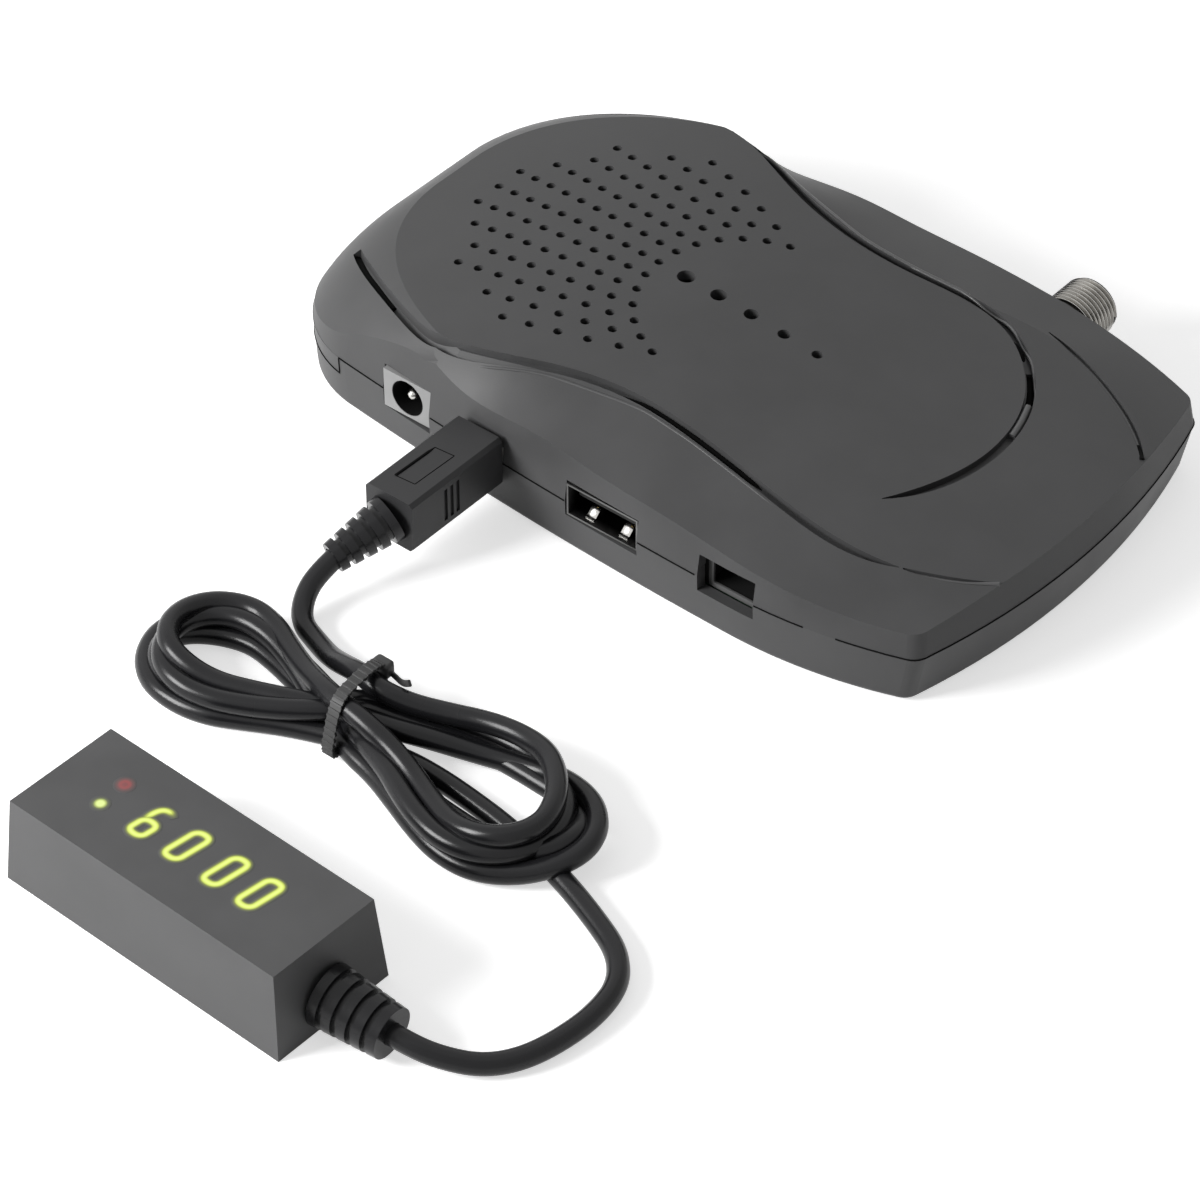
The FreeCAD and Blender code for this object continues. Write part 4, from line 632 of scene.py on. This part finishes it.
def make_tie_tail():
    """The strap's free end, past its head."""
    clear()
    bpy.ops.curve.primitive_nurbs_path_add()
    tail = take("tie_tail")
    path = tail.data.splines[0]
    for point, (x, y, z) in zip(path.points, TIE_TAIL):
        point.co = (x * MM, y * MM, z * MM, 1)
    path.order_u = 3
    path.use_endpoint_u = True
    tail.data.bevel_depth = TIE_TAIL_ROUND * MM
    tail.data.extrude = TIE_TAIL_HALF_WIDTH * MM
    tail.data.bevel_resolution = 3
    tail.data.use_fill_caps = True
    tail = to_mesh(tail)
    smooth(tail, 60)
    give(tail, tie_plastic, "display_lead")
    return tail


# ---------------------------------------------------------------------------------------------
# Display: four lit digits and two lit spots, seen through the lid
# ---------------------------------------------------------------------------------------------

UNIT_TURN = Matrix.Rotation(math.radians(-1.74), 4, "Z")
UNIT_PLACE = Matrix.Translation(Vector((10.53, -128.25, LID_TOP)) * MM) @ UNIT_TURN
DIGIT_SLANT = 0.118
DIGIT_MIDDLE = 0.2
STROKE_REACH = 1.0
ZERO = [
    (-0.75, -2.95), (0.55, -2.95), (1.25, -2.3), (1.25, -1.2), (1.25, 1.2), (1.25, 2.3), (0.75, 2.95),
    (-0.55, 2.95), (-1.25, 2.3), (-1.25, 1.2), (-1.25, -1.2), (-1.25, -2.3),
]
SIX_BOWL = [
    (-0.6, -2.95), (0.6, -2.95), (1.25, -2.4), (1.25, -1.5), (1.25, -0.5), (0.65, 0.1), (-0.65, 0.1),
    (-1.25, -0.5), (-1.25, -1.5), (-1.25, -2.4),
]
SIX_STEM = [(-1.25, -1.6), (-1.25, 0.4), (-1.15, 2.1), (-0.5, 2.9), (0.7, 2.95), (1.45, 2.5)]
STEM_TAPER = (0.6, 1, 1, 1, 0.95, 0.6)

# Name, middle across the lid, and each stroke with whether it is closed.
DIGITS = (
    ("digit_thousands", -7.3, ((SIX_BOWL, True), (SIX_STEM, False))),
    ("digit_hundreds", -0.72, ((ZERO, True),)),
    ("digit_tens", 6.4, ((ZERO, True),)),
    ("digit_units", 12.6, ((ZERO, True),)),
)

# Name, middle in the lid's plan, radius, finish, slot.
LIGHT_SPOTS = (
    ("green_light_spot", (-14.9, -1.74), 1.5, green_light, "lamp_green"),
    ("red_light_spot", (-15.05, 2.9), 1.6, red_light, "lamp_red"),
)


def light_stroke(name, points, closed, middle):
    """A line of light: a rounded stroke pressed flat into the lid's face."""
    clear()
    bpy.ops.curve.primitive_nurbs_path_add()
    stroke = take(name)
    path = stroke.data.splines[0]
    path.points.add(len(points) - len(path.points))
    for point, (x, y) in zip(path.points, points):
        point.co = ((middle + x + DIGIT_SLANT * y) * MM, (y + DIGIT_MIDDLE) * MM, 0, 1)
    path.order_u = 3
    path.use_endpoint_u = not closed
    path.use_cyclic_u = closed
    if not closed:
        for point, share in zip(path.points, STEM_TAPER):
            point.radius = share
    stroke.data.bevel_depth = STROKE_REACH * MM
    stroke.data.bevel_resolution = 6
    stroke.data.resolution_u = 6
    stroke.data.use_fill_caps = True
    stroke = to_mesh(stroke)
    return settle(pressed(stroke, LIGHT_PROUD / STROKE_REACH), UNIT_PLACE)


def light_spot(name, middle, radius, finish, slot):
    """A round spot of light, pressed flat into the lid's face."""
    clear()
    place = (middle[0] * MM, middle[1] * MM, 0)
    bpy.ops.mesh.primitive_uv_sphere_add(segments=32, ring_count=24, radius=radius * MM, location=place)
    spot = take(name)
    settle(pressed(settle(spot), LIGHT_PROUD / radius), UNIT_PLACE)
    smooth(spot, 60)
    give(spot, finish, "display_lead")


def make_lights():
    """The four figures and the two spots, in the lid."""
    for name, middle, strokes in DIGITS:
        lines = [light_stroke(name, points, closed, middle) for points, closed in strokes]
        digit = joined(name, *lines)
        smooth(digit, 60)
        give(digit, digit_light, "display_lead")
    for spot in LIGHT_SPOTS:
        light_spot(*spot)


# ---------------------------------------------------------------------------------------------
# Case: the parting line's painted shade, and the painted shade and highlights in and beside the roof's
# channels
# ---------------------------------------------------------------------------------------------

# Lines of the plan are in shares of the case's half length and half width.
CASE_HALF = (63.35, 39.4)
WALL_BULGE_PLACE = 29.65
WALL_BULGE_DIAMETER = 1380
LONG_SIDE_END = 47
PARTING_HEIGHTS = (6.0, 9.0)
PARTING_STEP = -47.8
PARTING_STEP_REACH = 0.02
PARTING_GAP_RADIUS = 0.13
RAY_DROP = 0.02
RAY_PITCH = 0.5
RAY_ROWS = (116, 74)  # to either side of the middle: along the case, across it
RAY_START = (70, 50)  # past the ends, past the long sides
MOST_TRAVEL = 22
MOST_APART = 1.5
OPENING_DEEP = 0.9
CHANNEL_NEAR = [
    (-0.88, -0.549), (-0.801, -0.638), (-0.684, -0.74), (-0.572, -0.818), (-0.468, -0.86), (-0.339, -0.822),
    (-0.189, -0.721), (0.047, -0.635), (0.197, -0.642), (0.347, -0.67), (0.489, -0.701), (0.616, -0.711),
    (0.773, -0.655),
]
CHANNEL_FAR = [(x, -y) for x, y in CHANNEL_NEAR[:10]] + [
    (0.481, 0.64), (0.584, 0.533), (0.66, 0.381), (0.704, 0.19), (0.713, 0.0), (0.688, -0.216),
    (0.619, -0.431),
]
CREASE_FAR = [(0.556, 0.736), (0.663, 0.693), (0.773, 0.624), (0.876, 0.533), (0.925, 0.466)]
CREASE_FAR_END = [(0.925, 0.466), (0.945, 0.436), (0.963, 0.406)]
CREASE_NEAR = [(0.781, -0.65), (0.83, -0.618), (0.876, -0.576), (0.92, -0.526), (0.963, -0.472)]
SLOT_FAR = [(0.603, 0.508), (0.66, 0.381), (0.691, 0.254)]
SLOT_NEAR = [(-0.88, -0.549), (-0.801, -0.638), (-0.684, -0.74), (-0.64, -0.774)]
FLOOR_FAR = [(0.672, 0.345), (0.692, 0.25), (0.704, 0.17)]

# A strand's radius, or its radii, and how far its middle line lies under the roof.
RIM_RADIUS, RIM_TIP = 0.34, 0.25
DEPTH_RADIUS, DEPTH_TIP, DEPTH_SINK = 0.6, 0.2, 0.28
CREASE_RADII, CREASE_SINK = (0.1, 0.26, 0.32, 0.34, 0.34), 0.04
CREASE_SLOT_RADII, CREASE_SLOT_SINK = (0.4, 0.44, 0.44), 0.1
SCREEN_RADIUS, SCREEN_ASIDE, SCREEN_SINK = 0.85, 1.2, 2.6
FLOOR_RADIUS, FLOOR_ASIDE, FLOOR_SINK = 0.72, 1.3, 0.95

# Name, line, distance aside, depth under the roof, finish.
CHANNEL_RIMS = (
    ("near_channel_rim", CHANNEL_NEAR[2:-1], 0.98, 0.24, case_plastic),
    # The far rim's lighter finish is a painted highlight.
    ("far_channel_rim", CHANNEL_FAR[2:14], -0.98, 0.16, painted_highlight_plastic),
)

# Black strands of painted shade in the channels' depths: name, line, distance aside.
CHANNEL_SHADE_STRANDS = (
    ("near_channel_shade_strand",
     [(-0.05, -0.665), (0.047, -0.635), (0.197, -0.642), (0.347, -0.67), (0.42, -0.687)], -0.45),
    ("near_channel_tip_shade", [(0.66, -0.704), (0.72, -0.683), (0.79, -0.652)], 0.1),
    ("far_channel_shade_strand", [(0.50, 0.622), (0.54, 0.583), (0.575, 0.543)], 0.0),
)


def bead(name, points, radii, body, finish, order=3):
    """A rounded strand through points, with a radius for each; order 2 leaves its runs straight."""
    line = bpy.data.curves.new(name, "CURVE")
    line.dimensions = "3D"
    line.bevel_depth = 1
    line.bevel_resolution = 3
    line.resolution_u = 6
    line.use_fill_caps = True
    spline = line.splines.new("NURBS")
    spline.points.add(len(points) - 1)
    for point, place, radius in zip(spline.points, points, radii):
        point.co = (*(c * MM for c in place), 1)
        point.radius = radius * MM
    spline.order_u = order
    spline.use_endpoint_u = True
    strand = bpy.data.objects.new(name, line)
    bpy.context.collection.objects.link(strand)
    strand = to_mesh(strand)
    strand.name = name
    strand.data.name = name
    smooth(strand, 60)
    give(strand, finish, body)
    return strand


def on_roof(x, y, sink):
    """The roof's surface over a place of the plan, lowered by sink, all in millimetres."""
    spot = nodes["upper_casing"].ray_cast(Vector((x, y, 40)) * MM, Vector((0, 0, -1)))[1]
    return (x, y, spot.z / MM - sink)


def beside(shares, aside):
    """Places along a line of the plan, moved aside to its right by a distance in millimetres."""
    places = [(x * CASE_HALF[0], y * CASE_HALF[1]) for x, y in shares]
    moved = []
    for number, (x, y) in enumerate(places):
        before = places[max(number - 1, 0)]
        after = places[min(number + 1, len(places) - 1)]
        along = Vector((after[0] - before[0], after[1] - before[1])).normalized()
        moved.append((x + along.y * aside, y - along.x * aside))
    return moved


def denser(places):
    """The same line with a place added in the middle of each run."""
    rows = [places[0]]
    for a, b in zip(places, places[1:]):
        rows += [((a[0] + b[0]) / 2, (a[1] + b[1]) / 2), b]
    return rows


def tapered(radius, count, tip):
    """Radii that grow from a share tip of the radius at both ends to the whole of it."""
    return [radius * min(1, tip + 4 * min(n, count - 1 - n) / count) for n in range(count)]


def under_edge(shares, aside, sink):
    """Places along a line, at a depth under the roof's edge that lies aside of it."""
    edge = [on_roof(x, y, 0) for x, y in denser(beside(shares, aside))]
    return [(x, y, top[2] - sink) for (x, y), top in zip(denser(beside(shares, 0)), edge)]


def case_bead(name, points, radii, finish, order=3):
    """A strand that belongs to the case."""
    bead(name, points, radii, "receiver", finish, order)


def make_channel_trim():
    """The rims of the roof's channels, black strands of painted shade in their depths and slots, and, in a
    lighter copy of the case plastic, a painted highlight on the far rim and the two creases and painted light
    on the far slot's floor.
    """
    for name, shares, aside, sink, finish in CHANNEL_RIMS:
        points = [on_roof(x, y, sink) for x, y in denser(beside(shares, aside))]
        case_bead(name, points, tapered(RIM_RADIUS, len(points), RIM_TIP), finish)
    # Black strands of painted shade in the channels' depths.
    for name, shares, aside in CHANNEL_SHADE_STRANDS:
        points = [on_roof(x, y, DEPTH_SINK) for x, y in denser(beside(shares, aside))]
        case_bead(name, points, tapered(DEPTH_RADIUS, len(points), DEPTH_TIP), painted_shadow_black)
    # The creases' ridges, in the lighter copy of the case plastic: painted highlight.
    for name, shares in (("far_crease_ridge", CREASE_FAR), ("near_crease_ridge", CREASE_NEAR)):
        points = [on_roof(x, y, CREASE_SINK) for x, y in beside(shares, 0)]
        case_bead(name, points, CREASE_RADII, painted_highlight_plastic)
    # A black strand of painted shade in the slot at the far crease's end.
    points = [on_roof(x, y, CREASE_SLOT_SINK) for x, y in beside(CREASE_FAR_END, 0)]
    case_bead("far_crease_painted_shade", points, CREASE_SLOT_RADII, painted_shadow_black)
    # Black strands under the slots' edges: painted shade seen through the slots.
    for name, shares, side in (("far_slot_shade_screen", SLOT_FAR, 1), ("near_slot_shade_screen", SLOT_NEAR, -1)):
        points = under_edge(shares, side * SCREEN_ASIDE, SCREEN_SINK)
        case_bead(name, points, [SCREEN_RADIUS] * len(points), painted_shadow_black)
    # A strand in the lighter copy on the far slot's floor: painted light.
    points = under_edge(FLOOR_FAR, FLOOR_ASIDE, FLOOR_SINK)
    case_bead("far_channel_floor", points, [FLOOR_RADIUS] * len(points), painted_highlight_plastic)


def wall_spot(x, y, height, along, across):
    """Where a level ray from outside first meets a casing, or None where it travels too far."""
    start = Vector((x, y, height - RAY_DROP)) * MM
    towards = Vector((along, across, 0))
    rays = [nodes[name].ray_cast(start, towards) for name in ("upper_casing", "lower_casing")]
    met = [ray[1] for ray in rays if ray[0]]
    if not met:
        return None
    spot = min(met, key=lambda place: (place - start).length)
    if (spot - start).length > MOST_TRAVEL * MM:
        return None
    return (spot.x / MM, spot.y / MM, height)


def on_outline(x, y):
    """Whether a place lies on the case's outer wall, and not inside an opening of a long side."""
    half_width = CASE_HALF[1] - (WALL_BULGE_PLACE - x) ** 2 / WALL_BULGE_DIAMETER
    return abs(x) > LONG_SIDE_END or abs(y) > half_width - OPENING_DEEP


def outline_rays():
    """Level rays towards the long sides, the ends and the step: place x and y, direction x and y."""
    columns, rows = (range(-count, count + 1) for count in RAY_ROWS)
    out, up = RAY_START
    step = [PARTING_STEP + turn * PARTING_STEP_REACH for turn in (-1, 1)]
    rays = [(x * RAY_PITCH, side * up, 0, -side) for side in (-1, 1) for x in columns]
    rays += [(end * out, y * RAY_PITCH, -end, 0) for end in (-1, 1) for y in rows]
    return rays + [(x, side * up, 0, -side) for side in (-1, 1) for x in step]


def make_parting_line():
    """A fine black strand of painted shade all round the case, in the gap where its two casings meet, left
    out across the openings.
    """
    low, high = PARTING_HEIGHTS
    spots = []
    for x, y, along, across in outline_rays():
        for height in (low, high):
            spot = wall_spot(x, y, height, along, across)
            if spot and (spot[0] < PARTING_STEP) == (height == low):
                spots.append(spot)
    spots.sort(key=lambda spot: math.atan2(spot[1], spot[0]))
    spots = [spot for spot in spots if on_outline(*spot[:2])]
    runs = [[spots[0]]]
    for spot in spots[1:] + spots[:1]:
        if math.dist(spot[:2], runs[-1][-1][:2]) > MOST_APART:
            runs.append([])
        runs[-1].append(spot)
    for number, run in enumerate(run for run in runs if len(run) > 2):
        case_bead("parting_seam_shade_%d" % number, run, [PARTING_GAP_RADIUS] * len(run), painted_shadow_black, order=2)


PANEL_CORNERS = [(-19.2, -54.3), (-19.0, -46.0), (-15.6, -45.7), (-15.8, -54.0), (-19.2, -54.3)]
PANEL_HEIGHT = 13.96
PANEL_STEPS = 6
# Radii of the panel's painted shade: along its first side, and along the others.
PANEL_SHADOW, PANEL_EDGE_SHADE = 0.26, 0.1


def make_grip_panel():
    """A black strand of painted shade round the shallow panel in the plug grip's top, widest along its first
    side, which lies in deeper shadow.
    """
    points, radii = [], []
    for number, ((x, y), (to_x, to_y)) in enumerate(zip(PANEL_CORNERS, PANEL_CORNERS[1:])):
        for step in range(PANEL_STEPS):
            along, across = (to_x - x) * step / PANEL_STEPS, (to_y - y) * step / PANEL_STEPS
            points.append((x + along, y + across, PANEL_HEIGHT))
            radii.append(PANEL_SHADOW if number == 0 else PANEL_EDGE_SHADE)
    points.append((*PANEL_CORNERS[0], PANEL_HEIGHT))
    bead("grip_panel_painted_shade", points, radii + [PANEL_EDGE_SHADE], "display_lead", painted_shadow_black, order=2)


POWER_AXIS = (-33.15, 9.5)
POWER_BORE = [(2.97, -0.05), (2.97, -9.3), (2.75, -9.3), (2.75, -0.25), (2.85, -0.05)]
POWER_TIP = [(0.02, 1.05), (0.5, 0.9), (0.85, 0.5), (0.99, 0), (0.99, -0.6), (0.02, -0.6)]
SPRING_PLACES = (2.95, 9.15)
SPRING_MIDDLE = (-35.9, 7.0)
SPRING_SIZE = (1.5, 3.6)
SPRING_RISE, SPRING_ARCH, SPRING_THICK = 1.15, 0.18, 0.14
SERVICE_MIDDLE = (28.95, -36.86, 9.3)
SERVICE_SIZE = (9.3, 6.3)
SERVICE_RIM, SERVICE_THICK = 0.85, 0.5


def turned_in_power_socket(name, outline, steps, mouth, finish, degrees):
    """A turned piece on the power socket's axis; mouth is where along Y its outline's zero lies."""
    piece = turned_ring(name, outline, steps)
    x, z = POWER_AXIS
    turn = Matrix.Rotation(math.radians(90), 4, "X")
    settle(piece, Matrix.Translation(Vector((x, mouth, z)) * MM) @ turn)
    smooth(piece, degrees)
    give(piece, finish, "receiver")


def make_host_spring(number, x):
    """A bowed leaf that shows through the type A socket's mouth."""
    clear()
    bpy.ops.mesh.primitive_grid_add(x_subdivisions=4, y_subdivisions=14, size=1)
    spring = take("host_socket_spring_%d" % number)
    middle, floor = SPRING_MIDDLE
    width, length = SPRING_SIZE
    for vertex in spring.data.vertices:
        along = vertex.co.y
        rise = SPRING_RISE * math.cos(math.pi * along) ** 2 - SPRING_ARCH * (2 * vertex.co.x) ** 2
        vertex.co = Vector((x + width * vertex.co.x, middle + length * along, floor + max(rise, 0))) * MM
    modify(spring, "SOLIDIFY", thickness=SPRING_THICK * MM, offset=1)
    settle(spring)
    smooth(spring, 50)
    give(spring, nickel, "receiver")


def make_service_face():
    """The grey frame round the service socket's mouth."""
    clear()
    bpy.ops.mesh.primitive_plane_add(size=1)
    face = take("service_socket_face")
    x, y, z = SERVICE_MIDDLE
    width, height = SERVICE_SIZE
    for vertex in face.data.vertices:
        vertex.co = Vector((x + width * vertex.co.x, y, z + height * vertex.co.y)) * MM
    pick(face)
    bpy.ops.object.mode_set(mode="EDIT")
    bpy.ops.mesh.select_all(action="SELECT")
    bpy.ops.mesh.inset(thickness=SERVICE_RIM * MM)
    bpy.ops.mesh.delete(type="FACE")
    bpy.ops.object.mode_set(mode="OBJECT")
    modify(face, "SOLIDIFY", thickness=SERVICE_THICK * MM, offset=0)
    modify(face, "BEVEL", width=0.1 * MM, segments=2, limit_method="ANGLE")
    tidy_shell(face)
    settle(face)
    smooth(face, 30)
    give(face, service_grey, "receiver")


def make_socket_details():
    """The power socket's bore, lined with black painted shade, and its pin tip, the type A socket's springs,
    the service socket's face.
    """
    # The bore's lining is a black sheet of painted shade.
    turned_in_power_socket("power_bore_painted_shade", POWER_BORE, 40, -36.14, painted_shadow_black, 40)
    turned_in_power_socket("power_pin_tip", POWER_TIP, 32, -34.64, nickel, 60)
    for number, x in enumerate(SPRING_PLACES):
        make_host_spring(number, x)
    make_service_face()


# ---------------------------------------------------------------------------------------------
# Aerial connector with its real screw thread
# ---------------------------------------------------------------------------------------------

AERIAL_TURN = Matrix.Rotation(math.radians(-90), 4, "X")
AERIAL_PLACE = Matrix.Translation(Vector((30.6, 0, 8.6)) * MM) @ AERIAL_TURN
BARREL = [
    (3.7, 33.2), (4.95, 33.2), (4.95, 39.5), (4.85, 39.8), (4.2, 39.8), (4.2, 47.2), (4.45, 47.2),
    (4.45, 47.55), (4.2, 47.8), (3.9, 47.8), (3.7, 47.6),
]
PLATE_SIZE = (11, 6.6, 1)
PLATE_MIDDLE = (0, 0.75, 33.7)
THREAD_PROFILE = ((4.15, 39.84), (4.74, 40.02), (4.74, 40.1), (4.15, 40.28))
THREAD_PITCH = 0.79
THREAD_TURNS = 9


def make_aerial():
    """The turned barrel with its wall plate, and the thread as one helical ridge."""
    body = turned_ring("aerial_barrel_body", BARREL)
    clear()
    bpy.ops.mesh.primitive_circle_add(vertices=4, radius=1, fill_type="NOTHING")
    thread = take("aerial_screw_thread")
    for vertex, (radius, along) in zip(thread.data.vertices, THREAD_PROFILE):
        vertex.co = Vector((radius, 0, along)) * MM
    modify(
        thread, "SCREW", angle=math.tau, steps=48, render_steps=48, iterations=THREAD_TURNS,
        screw_offset=THREAD_PITCH * MM, axis="Z",
    )
    pick(thread)
    bpy.ops.object.mode_set(mode="EDIT")
    bpy.ops.mesh.select_all(action="SELECT")
    bpy.ops.mesh.remove_doubles(threshold=0.001 * MM)
    bpy.ops.mesh.fill_holes(sides=0)
    bpy.ops.mesh.normals_make_consistent(inside=False)
    bpy.ops.object.mode_set(mode="OBJECT")
    clear()
    bpy.ops.mesh.primitive_cube_add(size=1, location=[c * MM for c in PLATE_MIDDLE])
    plate = take("aerial_plate")
    plate.scale = [c * MM for c in PLATE_SIZE]
    settle(plate)
    modify(plate, "BEVEL", width=0.2 * MM, segments=2)
    barrel = joined("aerial_connector", body, plate)
    # The barrel and plate take the near-black nickel of painted dark reflection and shade.
    for piece, finish in ((barrel, nickel_painted_near_black), (thread, nickel)):
        settle(piece, AERIAL_PLACE)
        smooth(piece, 30)
        give(piece, finish, "receiver")
    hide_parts("aerial_barrel")


# ---------------------------------------------------------------------------------------------
# Floor, light and surroundings
# ---------------------------------------------------------------------------------------------

WORLD_FILL = 0.18
FLOOR_SIZE = 6
FLOOR_GLOW = 0.6


def camera_and_mirror_rays(tree):
    """1 for what the camera, a mirror or a lens sees, and 0 for what only lights the object."""
    rays = tree.nodes.new("ShaderNodeLightPath")
    total = rays.outputs["Is Camera Ray"]
    for name in ("Is Glossy Ray", "Is Transmission Ray"):
        more = tree.nodes.new("ShaderNodeMath")
        more.operation = "MAXIMUM"
        tree.links.new(total, more.inputs[0])
        tree.links.new(rays.outputs[name], more.inputs[1])
        total = more.outputs[0]
    return total


def set_surroundings():
    """A white world that lights weakly, and a pale floor that keeps the object's shadow."""
    world = bpy.context.scene.world or bpy.data.worlds.new("studio")
    bpy.context.scene.world = world
    world.use_nodes = True
    tree = world.node_tree
    background = next(n for n in tree.nodes if n.type == "BACKGROUND")
    background.inputs["Color"].default_value = (1, 1, 1, 1)
    strength = tree.nodes.new("ShaderNodeMapRange")
    strength.inputs["To Min"].default_value = WORLD_FILL
    strength.inputs["To Max"].default_value = 1.0
    tree.links.new(camera_and_mirror_rays(tree), strength.inputs["Value"])
    tree.links.new(strength.outputs["Result"], background.inputs["Strength"])

    clear()
    bpy.ops.mesh.primitive_plane_add(size=FLOOR_SIZE)
    floor = take("studio_floor")
    finish = new_finish("pale_studio_floor", (0.86, 0.86, 0.86), Roughness=0.9)
    shader = shader_of(finish)
    shader.inputs["Specular IOR Level"].default_value = 0.0
    shader.inputs["Emission Color"].default_value = (1, 1, 1, 1)
    glow = finish.node_tree.nodes.new("ShaderNodeMath")
    glow.operation = "MULTIPLY"
    glow.inputs[1].default_value = FLOOR_GLOW
    finish.node_tree.links.new(camera_and_mirror_rays(finish.node_tree), glow.inputs[0])
    finish.node_tree.links.new(glow.outputs[0], shader.inputs["Emission Strength"])
    floor.data.materials.append(finish)


def add_sun(name, towards, strength, softness):
    """A soft lamp far away, which shines from the direction towards, with a softness in degrees."""
    clear()
    turn = Vector(towards).to_track_quat("Z", "Y").to_euler()
    bpy.ops.object.light_add(type="SUN", location=Vector(towards), rotation=turn)
    lamp = bpy.context.object
    lamp.name = name
    lamp.data.energy = strength
    lamp.data.angle = math.radians(softness)


def add_softbox(name, place, aim, side, power):
    """A square softbox at a place, turned to what it aims at, both in metres."""
    clear()
    away = Vector(place) - Vector(aim)
    bpy.ops.object.light_add(type="AREA", location=place, rotation=away.to_track_quat("Z", "Y").to_euler())
    lamp = bpy.context.object
    lamp.name = name
    lamp.data.shape = "SQUARE"
    lamp.data.size = side
    lamp.data.energy = power


def set_light():
    add_softbox("front_softbox", place=(-0.24, -0.42, 0.25), aim=(0, -0.05, 0.01), side=0.22, power=3.6)
    add_sun("top_softbox", towards=(-0.5, 0.15, 1.0), strength=0.47, softness=90)


# ---------------------------------------------------------------------------------------------
# The build
# ---------------------------------------------------------------------------------------------

dress_nodes()
lead = make_lead()
tie = [make_strap(), make_tie_head(), make_tie_tail()]
make_lights()
make_channel_trim()
make_parting_line()
make_socket_details()
make_grip_panel()
make_aerial()
set_camera()
set_surroundings()
set_light()

bpy.context.scene.view_settings.view_transform = "Standard"
clear()
